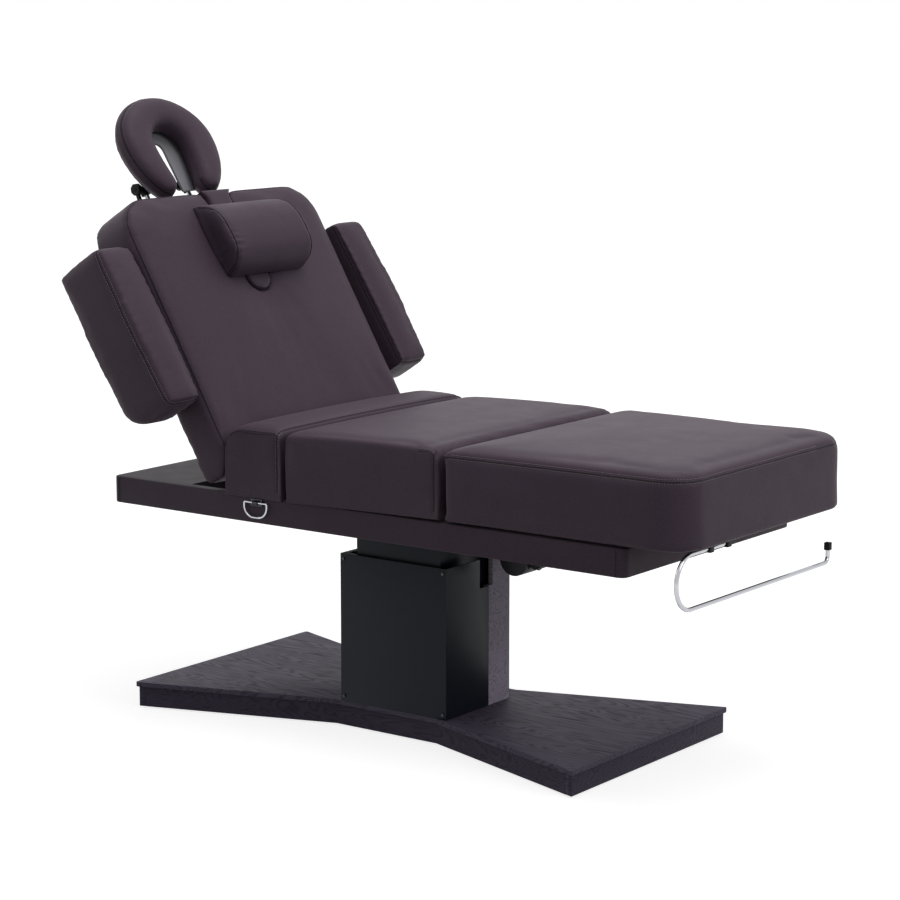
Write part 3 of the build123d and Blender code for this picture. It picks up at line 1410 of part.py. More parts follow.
def ring_plate():
    """The small plate on the frame's near side, with the loop that the pull ring hangs in."""
    y0 = -frame_half_width
    y1 = y0 - ring_plate_thickness
    half = ring_plate_length / 2
    plate = block(ring_x - half, ring_x + half, y1, y0, ring_axis_z - ring_plate_height / 2,
                  ring_axis_z + ring_plate_height / 2)
    bore = ring_wire + ring_loop_clearance
    loop_y = y1 - bore
    x0 = ring_x - ring_loop_length / 2
    x1 = ring_x + ring_loop_length / 2
    reach = bore + ring_loop_wall
    loop = block(x0, x1, loop_y - reach, y1, ring_axis_z - reach, ring_axis_z + reach)
    loop = chamfer(loop.edges().filter_by(Axis.X).sort_by(Axis.Y)[:2], ring_loop_wall)
    return plate + loop - rod_x(bore, loop_y, ring_axis_z, x0 - overrun, x1 + overrun)


def pull_ring():
    """A D-shaped ring: a round bar in the loop and a flat bow with rounded corners below it."""
    y = -frame_half_width - ring_plate_thickness - ring_wire - ring_loop_clearance
    top = ring_axis_z
    outer_width = ring_width + 2 * ring_wire
    inner_width = ring_width - 2 * ring_wire
    drop = ring_drop + ring_wire
    bow = Pos(ring_x, top) * RectangleRounded(outer_width, 2 * drop, ring_bend + ring_wire)
    hole = Pos(ring_x, top)
    hole *= RectangleRounded(inner_width, 2 * (drop - 2 * ring_wire), ring_bend - ring_wire)
    bow = slab(bow - hole, y - ring_wire, y + ring_wire)
    bow &= block(ring_x - ring_width, ring_x + ring_width, y - ring_width, y + ring_width,
                 top - ring_width, top)
    reach = outer_width / 2
    return bow + rod_x(ring_wire, y, top, ring_x - reach, ring_x + reach)


def main():
    """Write every sub-part to its own STEP file."""
    os.makedirs("parts", exist_ok=True)
    skirt_near, skirt_far, skirt_head, skirt_foot = base_skirts()
    rail_near, rail_far, rail_head, rail_foot = frame_rails()
    nodes = {
        "base_top_panel": base_top_panel(),
        "base_skirt_near": skirt_near,
        "base_skirt_far": skirt_far,
        "base_skirt_head": skirt_head,
        "base_skirt_foot": skirt_foot,
        "base_steel_frame": base_steel_frame(),
        "levelling_feet": levelling_feet(),
        "column_near_cover": column_near_cover(),
        "column_far_casing": column_far_casing(),
        "cover_screws": cover_screws(),
        "lift_guide_outer": lift_guide_outer(),
        "lift_actuator_body": lift_actuator_body(),
        "column_inner_sleeve": column_inner_sleeve(),
        "lift_guide_inner": lift_guide_inner(),
        "lift_actuator_rod": lift_actuator_rod(),
        "cross_bars": cross_bars(),
        "chassis_rails": chassis_rails(),
        "frame_rail_near": rail_near,
        "frame_rail_far": rail_far,
        "frame_rail_head": rail_head,
        "frame_rail_foot": rail_foot,
        "head_deck": head_deck(),
        "control_box": control_box(),
        "hip_board": hip_board(),
        "hip_cushion": hip_cushion(),
        "hip_hinge_leaf": hip_hinge_leaf(),
        "thigh_board": thigh_board(),
        "thigh_cushion": thigh_cushion(),
        "thigh_frame": thigh_frame(),
        "leg_board": leg_board(),
        "leg_cushion": leg_cushion(),
        "leg_frame": leg_frame(),
        "leg_glides": leg_glides(),
        "knee_actuator_body": knee_actuator_body(),
        "knee_actuator_rod": knee_actuator_rod(),
        "back_actuator_body": back_actuator_body(),
        "back_actuator_rod": back_actuator_rod(),
        "back_hinge_ears": back_hinge_ears(),
        "back_hinge_frame": back_hinge_frame(),
        "back_board": back_board(),
        "back_cushion": back_cushion(),
        "face_plug": face_plug(),
        "pillow": pillow(),
        "armrest_bracket_near": armrest_bracket(1),
        "armrest_bracket_far": armrest_bracket(-1),
        "armrest_arm_near": armrest_arm(1),
        "armrest_arm_far": armrest_arm(-1),
        "armrest_pad_near": armrest_pad(1),
        "armrest_pad_far": armrest_pad(-1),
        "cradle_sockets": cradle_sockets(),
        "cradle_rods": cradle_rods(),
        "cradle_crossbar": cradle_crossbar(),
        "cradle_plate": cradle_plate(),
        "cradle_cushion": cradle_cushion(),
        "cam_lever": cam_lever(),
        "roll_bar": roll_bar(),
        "roll_bar_tip": roll_bar_tip(),
        "roll_bar_clips": roll_bar_clips(),
        "ring_plate": ring_plate(),
        "pull_ring": pull_ring(),
    }
    for name, shape in nodes.items():
        export_step(shape, f"parts/{name}.step")


main()
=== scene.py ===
"""Looks for an electric spa bed: sewn covers over foam, veneer, powder coat, chrome and rubber."""

import json
import math

import bmesh
import bpy
from bpy.props import FloatProperty, PointerProperty, StringProperty
from mathutils import Matrix, Vector, noise


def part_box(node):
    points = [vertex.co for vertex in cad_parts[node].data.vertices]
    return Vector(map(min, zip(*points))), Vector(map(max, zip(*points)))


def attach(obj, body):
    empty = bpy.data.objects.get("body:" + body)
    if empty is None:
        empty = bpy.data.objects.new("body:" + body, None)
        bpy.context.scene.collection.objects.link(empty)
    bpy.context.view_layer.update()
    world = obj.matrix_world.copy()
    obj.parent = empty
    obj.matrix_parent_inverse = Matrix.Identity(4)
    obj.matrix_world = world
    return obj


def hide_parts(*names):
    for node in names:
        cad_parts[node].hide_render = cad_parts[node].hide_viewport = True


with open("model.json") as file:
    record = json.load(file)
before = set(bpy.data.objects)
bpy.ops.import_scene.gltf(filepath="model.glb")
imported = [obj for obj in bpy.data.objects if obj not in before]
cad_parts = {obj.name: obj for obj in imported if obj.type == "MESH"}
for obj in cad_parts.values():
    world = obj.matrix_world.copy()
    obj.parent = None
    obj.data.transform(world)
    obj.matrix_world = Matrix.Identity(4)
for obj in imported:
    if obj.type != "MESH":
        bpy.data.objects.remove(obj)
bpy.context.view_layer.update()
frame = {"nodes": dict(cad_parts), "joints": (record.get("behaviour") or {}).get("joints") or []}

bl_info = {
    "name": "Spa bed looks",
    "version": (1, 0, 0),
    "blender": (4, 5, 0),
    "location": "View3D > Sidebar > Spa Bed",
    "description": "Dresses the packed spa bed in sewn covers, veneer, powder coat and chrome",
    "category": "Object",
}


def joint_place(name):
    return Vector(next(j["pos_m"] for j in frame["joints"] if j["name"] == name))


# The backrest at rest: its lean from the level, and its face, which stands FACE_HEIGHT over the
# hinge pin and rises by FACE_SLOPE towards the head.
BACK_PIVOT = joint_place("back_hinge")
BACK_LEAN = math.radians(57.08)
UP_BACK = Vector((-math.cos(BACK_LEAN), 0.0, math.sin(BACK_LEAN)))
OUT_OF_BACK = Vector((math.sin(BACK_LEAN), 0.0, math.cos(BACK_LEAN)))
FACE_HEIGHT = 0.0498
FACE_SLOPE = 0.0362

LENGTHWAYS, ACROSS = Vector((1, 0, 0)), Vector((0, 1, 0))

# Half widths of the seat: the pads, the hip and thigh covers, their side seams, and the lip
# under a cover that lies against its board. A crown takes CROWN_REACH to rise from a side.
PAD_HALF = 0.35
COVER_HALF = 0.3498
SEAM_HALF = 0.3435
LIP_HALF = 0.3431
CROWN_REACH = 0.045
# Up to WALL_HOLDS the foam doesn't press a seat cover's wall out. The walls at a pad's ends,
# within END_WALL of them, lean away from the next pad over the heights TOP_LEANS.
WALL_HOLDS = 0.60
END_WALL = 0.002
TOP_LEANS = (0.65, 0.70)
# The thigh pad's ends before it is tilted, and the place of the roll bar along the bed.
THIGH_HEAD, THIGH_FOOT = -0.1260, 0.2946
BAR_X = 0.8846

# Cloth: a point freer than LOOSE is smoothed after it, and one less free than HELD stays put.
CLOTH_FRAMES = 20
LOOSE = 0.3
HELD = 0.03
SLIDE_KEPT = 0.2

# A mesh with more points than FINE_MESH has faces that are all smaller than NEAR_PLANE.
FINE_MESH = 5000
NEAR_PLANE = 0.035
SHORTEST_CUT = 8
SHORTEST_RUN = 3
CLOSED_WITHIN = 0.02
SAME_POINT = 1e-5

VALLEY_WIDTH = 0.011
SEAM_STEP = 0.006
THREAD_RADIUS = 0.0008

# The handle of a cubic curve that follows a quarter circle of radius 1.
QUARTER_HANDLE = 0.5523


class SpaBedSizes(bpy.types.PropertyGroup):
    """Sizes of the covers and of their sewing."""
    pad_cell: FloatProperty(
        name="Seat cover cell", description="Mesh spacing of the hip and thigh covers",
        default=0.0145, min=0.008, max=0.03, unit="LENGTH")
    large_voxel: FloatProperty(
        name="Large cover cell", description="Mesh spacing of the back and leg covers",
        default=0.0085, min=0.004, max=0.02, unit="LENGTH")
    small_voxel: FloatProperty(
        name="Small cover cell",
        description="Mesh spacing of the armrest, pillow and cradle covers",
        default=0.0058, min=0.003, max=0.02, unit="LENGTH")
    foam_push: FloatProperty(
        name="Foam push", description="Pressure with which the foam fills a cover",
        default=4.0, min=0.0, max=12.0)
    cover_fill: FloatProperty(
        name="Cover fill", description="Share of its full swell to which a cover is filled",
        default=1.0, min=0.1, max=3.0)
    seam_radius: FloatProperty(
        name="Seam radius", description="Half the thickness of a raised seam",
        default=0.0011, min=0.0004, max=0.004, unit="LENGTH")
    stitch_length: FloatProperty(
        name="Stitch length", description="Length of one stitch",
        default=0.0042, min=0.002, max=0.01, unit="LENGTH")
    stitch_pitch: FloatProperty(
        name="Stitch pitch", description="Distance from one stitch to the next",
        default=0.0065, min=0.003, max=0.02, unit="LENGTH")
    leather_grain: FloatProperty(
        name="Leather grain", description="Size of one pebble of the leather's grain",
        default=0.0028, min=0.0008, max=0.01, unit="LENGTH")
    board_edge: FloatProperty(
        name="Board edge", description="Width of the worn bevel on boards and sheet metal",
        default=0.0009, min=0.0, max=0.004, unit="LENGTH")


class SpaBedFinishes(bpy.types.PropertyGroup):
    """Colours of the finishes, as sRGB hex values."""
    cover: StringProperty(
        name="Cover", description="Coated leather of the pads", default="4C3E4B")
    frame_cover: StringProperty(
        name="Frame cover", description="Coated leather of the bed frame", default="403440")
    # The thread is drawn lighter than the leather: partly its own colour, partly painted highlight
    # for stitches that catch the light.
    thread: StringProperty(
        name="Thread", description="Sewing thread", default="6E6269")
    veneer: StringProperty(
        name="Veneer", description="Stained ash veneer between its pores", default="665E70")
    veneer_pore: StringProperty(
        name="Veneer pores", description="Dark pores of the base's veneer", default="332E39")
    # Painted light: the casing's veneer is the base panel's dark ash veneer drawn much lighter,
    # with lighter pores, for the white backdrop that its slanted facet reflects.
    casing: StringProperty(
        name="Casing veneer", description="Lighter veneer of the column's far casing",
        default="CFC5D7")
    casing_pore: StringProperty(
        name="Casing pores", description="Pores of the casing's veneer", default="988FA1")
    skirt: StringProperty(
        name="Skirt", description="Stained boards round the base", default="4A4455")
    column: StringProperty(
        name="Column cover", description="Powder coat of the column", default="1E222B")
    steel: StringProperty(
        name="Black steel", description="Powder coat of hidden steel", default="141417")
    plastic: StringProperty(
        name="Housings", description="Moulded housings of the drives", default="1C1C21")
    plywood: StringProperty(
        name="Plywood", description="Boards under the pads", default="8B7358")
    nylon: StringProperty(
        name="Nylon", description="Glide strips", default="D8D4C8")
    plate: StringProperty(
        name="Cradle plate", description="Light coated plate behind the cradle", default="8E8D93")
    # This colour is painted shade: dark leather laid beside the seams and along the pillow and
    # cradle rims, where the shade of a fold falls.
    painted_shade_colour: StringProperty(
        name="Seam fold", description="Shaded fold beside a seam", default="1A151B")


# Small helpers

def linear(hex_value):
    """An sRGB hex value as linear red, green, blue and alpha."""
    parts = [int(hex_value[i:i + 2], 16) / 255 for i in (0, 2, 4)]
    return [p / 12.92 if p <= 0.04045 else ((p + 0.055) / 1.055) ** 2.4 for p in parts] + [1.0]


def sizes():
    return bpy.context.scene.spa_bed_sizes


def finishes():
    return bpy.context.scene.spa_bed_finishes


def on_back(up, out):
    """A point on the bed's middle plane, given up the back from its hinge and out of it."""
    return BACK_PIVOT + UP_BACK * up + OUT_OF_BACK * out


def back_place(point):
    """How far a point lies up the back and out of it."""
    arm = point - BACK_PIVOT
    return arm.dot(UP_BACK), arm.dot(OUT_OF_BACK)


def above_back(point):
    """How far a point stands above the backrest's sloping face."""
    up, out = back_place(point)
    return out - (FACE_HEIGHT + FACE_SLOPE * up)


def ease(low, high, value):
    """A smooth step from 0 at low to 1 at high."""
    share = min(1.0, max(0.0, (value - low) / (high - low)))
    return share * share * (3 - 2 * share)


def rise(depth, reach):
    """A quarter ellipse: 0 at an edge, 1 from reach inwards."""
    share = min(1.0, max(0.0, depth / reach))
    return math.sqrt(1 - (1 - share) ** 2)


def bow(share):
    """A parabola: 1 where share is 0, and 0 where it is 1 or -1."""
    return 1 - share ** 2


def new_piece(name, mesh):
    piece = bpy.data.objects.new(name, mesh)
    bpy.context.scene.collection.objects.link(piece)
    return piece


def piece_of(form, name):
    """A new piece from a bmesh, which is freed."""
    mesh = bpy.data.meshes.new(name)
    form.to_mesh(mesh)
    form.free()
    return new_piece(name, mesh)


def final_mesh(piece):
    """A new mesh of the piece as its modifiers or its curve's section leave it."""
    bpy.context.view_layer.update()
    depsgraph = bpy.context.evaluated_depsgraph_get()
    return bpy.data.meshes.new_from_object(piece.evaluated_get(depsgraph))


def settled(piece):
    """Applies the piece's modifiers to a new mesh."""
    mesh = final_mesh(piece)
    piece.modifiers.clear()
    old = piece.data
    piece.data = mesh
    bpy.data.meshes.remove(old)
    return piece


def dressed(piece, material):
    """Gives the piece one finish, with smooth shading."""
    piece.data.materials.clear()
    piece.data.materials.append(material)
    for face in piece.data.polygons:
        face.material_index = 0
        face.use_smooth = True
    return piece


def round_wire(name, radius, section):
    """An empty curve with a round section, for seams and bent wire."""
    line = bpy.data.curves.new(name, "CURVE")
    line.dimensions = "3D"
    line.bevel_depth = radius
    line.bevel_resolution = section
    line.use_fill_caps = True
    return line


def as_tube(name, body, line, material):
    """A curve with its section, made a mesh that rides on a body."""
    drawn = new_piece(name, line)
    mesh = final_mesh(drawn)
    bpy.data.objects.remove(drawn)
    bpy.data.curves.remove(line)
    piece = dressed(new_piece(name, mesh), the(material))
    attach(piece, body)
    return piece


# Materials

def add_node(tree, kind, settings=None, values=None, links=None):
    """Adds a node, sets its options and socket values, and joins its inputs."""
    made = tree.nodes.new(kind)
    for name, value in (settings or {}).items():
        setattr(made, name, value)
    for socket, value in (values or {}).items():
        made.inputs[socket].default_value = value
    for socket, source in (links or {}).items():
        tree.links.new(source, made.inputs[socket])
    return made


def begin(name, roughness, values=None):
    """A new material with its shader and its Object coordinates."""
    material = bpy.data.materials.new(name)
    material.use_nodes = True
    tree = material.node_tree
    tree.nodes.clear()
    out = tree.nodes.new("ShaderNodeOutputMaterial")
    shader = add_node(tree, "ShaderNodeBsdfPrincipled",
                      values={"Roughness": roughness, **(values or {})})
    tree.links.new(shader.outputs["BSDF"], out.inputs["Surface"])
    place = add_node(tree, "ShaderNodeTexCoord")
    return material, tree, shader, place.outputs["Object"]


def two_tones(tree, pattern, dark, light, low, high):
    """A ramp from a dark to a light tone over the given part of a pattern."""
    ramp = add_node(tree, "ShaderNodeValToRGB", links={"Fac": pattern})
    ramp.color_ramp.elements[0].position = low
    ramp.color_ramp.elements[1].position = high
    ramp.color_ramp.elements[0].color = dark
    ramp.color_ramp.elements[1].color = light
    return ramp.outputs["Color"]


def shade(colour, share):
    """A darker or lighter tone of a linear colour."""
    return [c * share for c in colour[:3]] + [1.0]


def coated_leather(name, hex_value):
    """Polyurethane-coated leather, embossed and satin: a fine pebble grain that softens the
    highlights, slow tone changes where the foam stretches it, and long shallow creases."""
    material, tree, shader, place = begin(name, 0.52, {
        "IOR": 1.42, "Specular IOR Level": 0.2, "Sheen Weight": 0.06, "Sheen Roughness": 0.45})
    pebbles = 1 / sizes().leather_grain
    finer, creases, tone_patches = 2.2, 16.0, 5.0
    grain = add_node(tree, "ShaderNodeTexVoronoi", {"feature": "SMOOTH_F1"},
                     {"Scale": pebbles, "Smoothness": 0.6, "Randomness": 0.9}, {"Vector": place})
    fine = add_node(tree, "ShaderNodeTexNoise", None,
                    {"Scale": pebbles * finer, "Detail": 2.0}, {"Vector": place})
    crease = add_node(tree, "ShaderNodeTexNoise", None,
                      {"Scale": creases, "Detail": 4.0, "Roughness": 0.55, "Distortion": 0.6},
                      {"Vector": place})
    tone = add_node(tree, "ShaderNodeTexNoise", None,
                    {"Scale": tone_patches, "Detail": 3.0}, {"Vector": place})
    base = linear(hex_value)
    body = two_tones(tree, tone.outputs["Fac"], shade(base, 0.94), shade(base, 1.06), 0.3, 0.7)
    pits = two_tones(tree, grain.outputs["Distance"], [1, 1, 1, 1], [0.8, 0.8, 0.8, 1],
                     0.25, 0.85)
    colour = add_node(tree, "ShaderNodeMix", {"data_type": "RGBA", "blend_type": "MULTIPLY"},
                      {0: 1.0}, {6: body, 7: pits})
    tree.links.new(colour.outputs[2], shader.inputs["Base Color"])
    gloss = add_node(tree, "ShaderNodeMapRange", None,
                     {"From Min": 0.3, "From Max": 0.7, "To Min": 0.50, "To Max": 0.56},
                     {"Value": crease.outputs["Fac"]})
    tree.links.new(gloss.outputs["Result"], shader.inputs["Roughness"])
    low = add_node(tree, "ShaderNodeBump", None, {"Strength": 0.09, "Distance": 0.004},
                   {"Height": crease.outputs["Fac"]})
    middle = add_node(tree, "ShaderNodeBump", {"invert": True},
                      {"Strength": 0.28, "Distance": 0.0006},
                      {"Height": grain.outputs["Distance"], "Normal": low.outputs["Normal"]})
    top = add_node(tree, "ShaderNodeBump", None, {"Strength": 0.12, "Distance": 0.0003},
                   {"Height": fine.outputs["Fac"], "Normal": middle.outputs["Normal"]})
    tree.links.new(top.outputs["Normal"], shader.inputs["Normal"])
    return material


def ash_veneer(name, light_hex, dark_hex, turn):
    """Brushed ash veneer, stained black and lacquered satin: long open pores that stay darker
    than the wood between them, in arched figures along the sheet. The pores are about 2 mm
    apart and 70 mm long, as coarse as they need to be to show."""
    material, tree, shader, place = begin(name, 0.6, {"IOR": 1.48, "Specular IOR Level": 0.12})
    stretch, arches, rings_in_arch, pores_along, pores_across = 9.0, 1.6, 46.0, 14.0, 420.0
    along = add_node(tree, "ShaderNodeMapping", None,
                     {"Rotation": turn, "Scale": (1.0, stretch, stretch)}, {"Vector": place})
    figure = add_node(tree, "ShaderNodeTexNoise", None,
                      {"Scale": arches, "Detail": 2.0, "Distortion": 0.9},
                      {"Vector": along.outputs["Vector"]})
    rings = add_node(tree, "ShaderNodeMath", {"operation": "MULTIPLY"}, {1: rings_in_arch},
                     {0: figure.outputs["Fac"]})
    waves = add_node(tree, "ShaderNodeMath", {"operation": "PINGPONG"}, {1: 1.0},
                     {0: rings.outputs["Value"]})
    lengths = add_node(tree, "ShaderNodeMapping", None,
                       {"Rotation": turn, "Scale": (pores_along, pores_across, pores_across)},
                       {"Vector": place})
    pores = add_node(tree, "ShaderNodeTexNoise", None,
                     {"Scale": 1.0, "Detail": 3.0, "Roughness": 0.7},
                     {"Vector": lengths.outputs["Vector"]})
    mixed = add_node(tree, "ShaderNodeMath", {"operation": "MULTIPLY"}, None,
                     {0: waves.outputs["Value"], 1: pores.outputs["Fac"]})
    colour = two_tones(tree, mixed.outputs["Value"], linear(light_hex), linear(dark_hex),
                       0.22, 0.62)
    tree.links.new(colour, shader.inputs["Base Color"])
    relief = add_node(tree, "ShaderNodeBump", {"invert": True},
                      {"Strength": 0.45, "Distance": 0.0008}, {"Height": mixed.outputs["Value"]})
    tree.links.new(relief.outputs["Normal"], shader.inputs["Normal"])
    gloss = add_node(tree, "ShaderNodeMapRange", None, {"To Min": 0.52, "To Max": 0.75},
                     {"Value": mixed.outputs["Value"]})
    tree.links.new(gloss.outputs["Result"], shader.inputs["Roughness"])
    return material


def powder_coat(name, hex_value, grain, roughness):
    """Baked powder coat on steel: a dense orange peel of about a millimetre, drawn a little
    coarser so that it shows, and a faint cloudiness in the gloss. grain counts per metre."""
    material, tree, shader, place = begin(name, roughness, {"IOR": 1.5, "Specular IOR Level": 0.14})
    peel = add_node(tree, "ShaderNodeTexNoise", None, {"Scale": grain, "Detail": 2.0},
                    {"Vector": place})
    cloud = add_node(tree, "ShaderNodeTexNoise", None, {"Scale": 7.0, "Detail": 2.0},
                     {"Vector": place})
    base = linear(hex_value)
    colour = two_tones(tree, cloud.outputs["Fac"], shade(base, 0.9), shade(base, 1.1), 0.3, 0.7)
    tree.links.new(colour, shader.inputs["Base Color"])
    gloss = add_node(tree, "ShaderNodeMapRange", None,
                     {"To Min": roughness - 0.06, "To Max": roughness + 0.08},
                     {"Value": cloud.outputs["Fac"]})
    tree.links.new(gloss.outputs["Result"], shader.inputs["Roughness"])
    relief = add_node(tree, "ShaderNodeBump", None, {"Strength": 0.2, "Distance": 0.0004},
                      {"Height": peel.outputs["Fac"]})
    tree.links.new(relief.outputs["Normal"], shader.inputs["Normal"])
    return material


def plated(name, hex_value, roughness, brush):
    """Plated or ground metal: a mirror with faint haze in patches, or with fine lines along the
    rod, where brush squeezes the pattern across it."""
    material, tree, shader, place = begin(
        name, roughness, {"Metallic": 1.0, "Base Color": linear(hex_value)})
    lines = add_node(tree, "ShaderNodeMapping", None, {"Scale": brush}, {"Vector": place})
    haze = add_node(tree, "ShaderNodeTexNoise", None, {"Scale": 12.0, "Detail": 3.0},
                    {"Vector": lines.outputs["Vector"]})
    gloss = add_node(tree, "ShaderNodeMapRange", None,
                     {"From Min": 0.35, "From Max": 0.7,
                      "To Min": roughness * 0.7, "To Max": roughness * 1.8},
                     {"Value": haze.outputs["Fac"]})
    tree.links.new(gloss.outputs["Result"], shader.inputs["Roughness"])
    return material


def moulded(name, hex_value, roughness, grain):
    """Injection-moulded plastic or rubber with a spark-eroded texture that breaks its gloss.
    grain counts per metre."""
    material, tree, shader, place = begin(name, roughness, {"IOR": 1.5, "Specular IOR Level": 0.2})
    spark = add_node(tree, "ShaderNodeTexVoronoi", None, {"Scale": grain}, {"Vector": place})
    tone = add_node(tree, "ShaderNodeTexNoise", None, {"Scale": 20.0, "Detail": 3.0},
                    {"Vector": place})
    base = linear(hex_value)
    colour = two_tones(tree, tone.outputs["Fac"], shade(base, 0.88), shade(base, 1.12), 0.3, 0.7)
    tree.links.new(colour, shader.inputs["Base Color"])
    relief = add_node(tree, "ShaderNodeBump", None, {"Strength": 0.25, "Distance": 0.0003},
                      {"Height": spark.outputs["Distance"]})
    tree.links.new(relief.outputs["Normal"], shader.inputs["Normal"])
    return material


def sealed_plywood(name, hex_value):
    """Rotary-cut birch plywood under a thin sealer: a broad, faint figure along the board."""
    material, tree, shader, place = begin(name, 0.55, {"IOR": 1.5})
    along = add_node(tree, "ShaderNodeMapping", None, {"Scale": (2.0, 12.0, 12.0)},
                     {"Vector": place})
    figure = add_node(tree, "ShaderNodeTexNoise", None,
                      {"Scale": 3.0, "Detail": 5.0, "Distortion": 1.2},
                      {"Vector": along.outputs["Vector"]})
    base = linear(hex_value)
    colour = two_tones(tree, figure.outputs["Fac"], shade(base, 0.75), shade(base, 1.12),
                       0.35, 0.65)
    tree.links.new(colour, shader.inputs["Base Color"])
    relief = add_node(tree, "ShaderNodeBump", None, {"Strength": 0.15, "Distance": 0.0004},
                      {"Height": figure.outputs["Fac"]})
    tree.links.new(relief.outputs["Normal"], shader.inputs["Normal"])
    return material


def waxed_thread(name, hex_value):
    """Bonded polyester thread, twisted and slightly waxed: a fine cross-twist along each stitch."""
    material, tree, shader, place = begin(name, 0.6, {"Sheen Weight": 0.2})
    twists = 500.0
    twist = add_node(tree, "ShaderNodeTexWave", None, {"Scale": twists, "Distortion": 1.0},
                     {"Vector": place})
    base = linear(hex_value)
    colour = two_tones(tree, twist.outputs["Fac"], shade(base, 0.7), base, 0.2, 0.8)
    tree.links.new(colour, shader.inputs["Base Color"])
    return material


def the(name):
    """A finish, made once and shared by the pieces that have it."""
    found = bpy.data.materials.get(name)
    if found:
        return found
    f = finishes()
    makers = {
        "leather_cover": lambda: coated_leather(name, f.cover),
        "leather_frame": lambda: coated_leather(name, f.frame_cover),
        "thread": lambda: waxed_thread(name, f.thread),
        "ash_veneer_panel": lambda: ash_veneer(name, f.veneer, f.veneer_pore, (0, 0, 0)),
        # Painted light: the same ash veneer as the panel, drawn much lighter for the reflection on
        # the casing's facet.
        "casing_veneer_painted_light": lambda: ash_veneer(name, f.casing, f.casing_pore,
                                                (0, math.radians(90), 0)),
        "stained_board": lambda: ash_veneer(name, f.skirt, f.veneer_pore, (0, 0, 0)),
        # Painted shade: the pads' leather in a very dark colour, for the shaded line beside a seam.
        "seam_fold": lambda: coated_leather(name, f.painted_shade_colour),
        "powder_coat_column": lambda: powder_coat(name, f.column, 700.0, 0.38),
        "powder_coat_black": lambda: powder_coat(name, f.steel, 600.0, 0.45),
        "powder_coat_plate": lambda: powder_coat(name, f.plate, 600.0, 0.4),
        "polished_chrome": lambda: plated(name, "B8B9BE", 0.07, (1, 1, 1)),
        "black_chrome": lambda: plated(name, "3C3C42", 0.2, (1, 1, 1)),
        "ground_steel": lambda: plated(name, "A8A8AE", 0.24, (4, 90, 90)),
        "moulded_housing": lambda: moulded(name, f.plastic, 0.5, 900.0),
        "black_rubber": lambda: moulded(name, "141416", 0.7, 500.0),
        "nylon_strip": lambda: moulded(name, f.nylon, 0.45, 500.0),
        "birch_plywood": lambda: sealed_plywood(name, f.plywood),
    }
    return makers[name]()


# Sewn covers

def calmed(form, verts, rounds):
    """Smooths the given points of a bmesh."""
    for _ in range(rounds):
        bmesh.ops.smooth_vert(form, verts=verts, factor=0.5,
                              use_axis_x=True, use_axis_y=True, use_axis_z=True)


def puff(piece, loose, swell, push=1.0, calm=2):
    """Presses the cover out with cloth pressure; loose says from 0 to 1 how free a point is,
    and swell how far the freest may move. Only the outward part of a movement counts in full,
    so the cover doesn't shrink along its own surface."""
    scene = bpy.context.scene
    most = swell * sizes().cover_fill
    rest = [v.co.copy() for v in piece.data.vertices]
    out = [v.normal.copy() for v in piece.data.vertices]
    free = [loose(co) for co in rest]
    held = piece.vertex_groups.new(name="held")
    held.add([i for i, share in enumerate(free) if share < HELD], 1.0, "REPLACE")
    cover = piece.modifiers.new("cover", "CLOTH")
    cover.settings.quality = 4
    cover.settings.mass = 0.4
    cover.settings.tension_stiffness = 18
    cover.settings.compression_stiffness = 18
    cover.settings.shear_stiffness = 8
    cover.settings.bending_stiffness = 1.5
    cover.settings.use_pressure = True
    cover.settings.uniform_pressure_force = push * sizes().foam_push
    cover.settings.effector_weights.gravity = 0
    cover.settings.vertex_group_mass = "held"
    cover.collision_settings.use_collision = False
    cover.point_cache.frame_start = 1
    cover.point_cache.frame_end = CLOTH_FRAMES
    for number in range(1, CLOTH_FRAMES + 1):
        scene.frame_set(number)
    depsgraph = bpy.context.evaluated_depsgraph_get()
    after = [v.co.copy() for v in piece.evaluated_get(depsgraph).data.vertices]
    piece.modifiers.remove(cover)
    piece.vertex_groups.clear()
    scene.frame_set(1)
    for vertex, start, away, share, end in zip(piece.data.vertices, rest, out, free, after):
        step = end - start
        fullness = step.dot(away)
        slide = (step - away * fullness) * SLIDE_KEPT
        fullness = most * (1 - math.exp(-max(0.0, fullness) / most))
        vertex.co = start + (away * fullness + slide) * share
    form = bmesh.new()
    form.from_mesh(piece.data)
    form.verts.ensure_lookup_table()
    calmed(form, [form.verts[i] for i, share in enumerate(free) if share > LOOSE], calm)
    form.to_mesh(piece.data)
    form.free()
    return piece


def foam_body(name, node, voxel, rounds, slack, shrink, stiff):
    """A pad remeshed evenly from its solid, eased along its edges and drawn in a little."""
    mesh = frame["nodes"][node].data.copy()
    form = bmesh.new()
    form.from_mesh(mesh)
    bmesh.ops.remove_doubles(form, verts=form.verts, dist=SAME_POINT)
    form.to_mesh(mesh)
    form.free()
    piece = new_piece(name, mesh)
    remesh = piece.modifiers.new("even", "REMESH")
    remesh.mode = "VOXEL"
    remesh.voxel_size = voxel
    settled(piece)
    form = bmesh.new()
    form.from_mesh(piece.data)
    soft = [v for v in form.verts if not stiff(v.co)]
    calmed(form, soft, rounds)
    form.normal_update()
    for vertex in soft:
        vertex.co -= vertex.normal * shrink * slack(vertex.co)
    form.to_mesh(piece.data)
    form.free()
    return piece


def finished_pad(piece, body, nodes, levels):
    """Subdivides and dresses a cover, and gives it its place in the frame."""
    smooth = piece.modifiers.new("smooth", "SUBSURF")
    smooth.levels = smooth.render_levels = levels
    settled(piece)
    dressed(piece, the("leather_cover"))
    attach(piece, body)
    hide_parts(*nodes)


def bunched(share):
    """Spreads even shares so that they lie closer together towards both ends."""
    pull = 0.62
    return share - pull * math.sin(2 * math.pi * share) / (2 * math.pi)


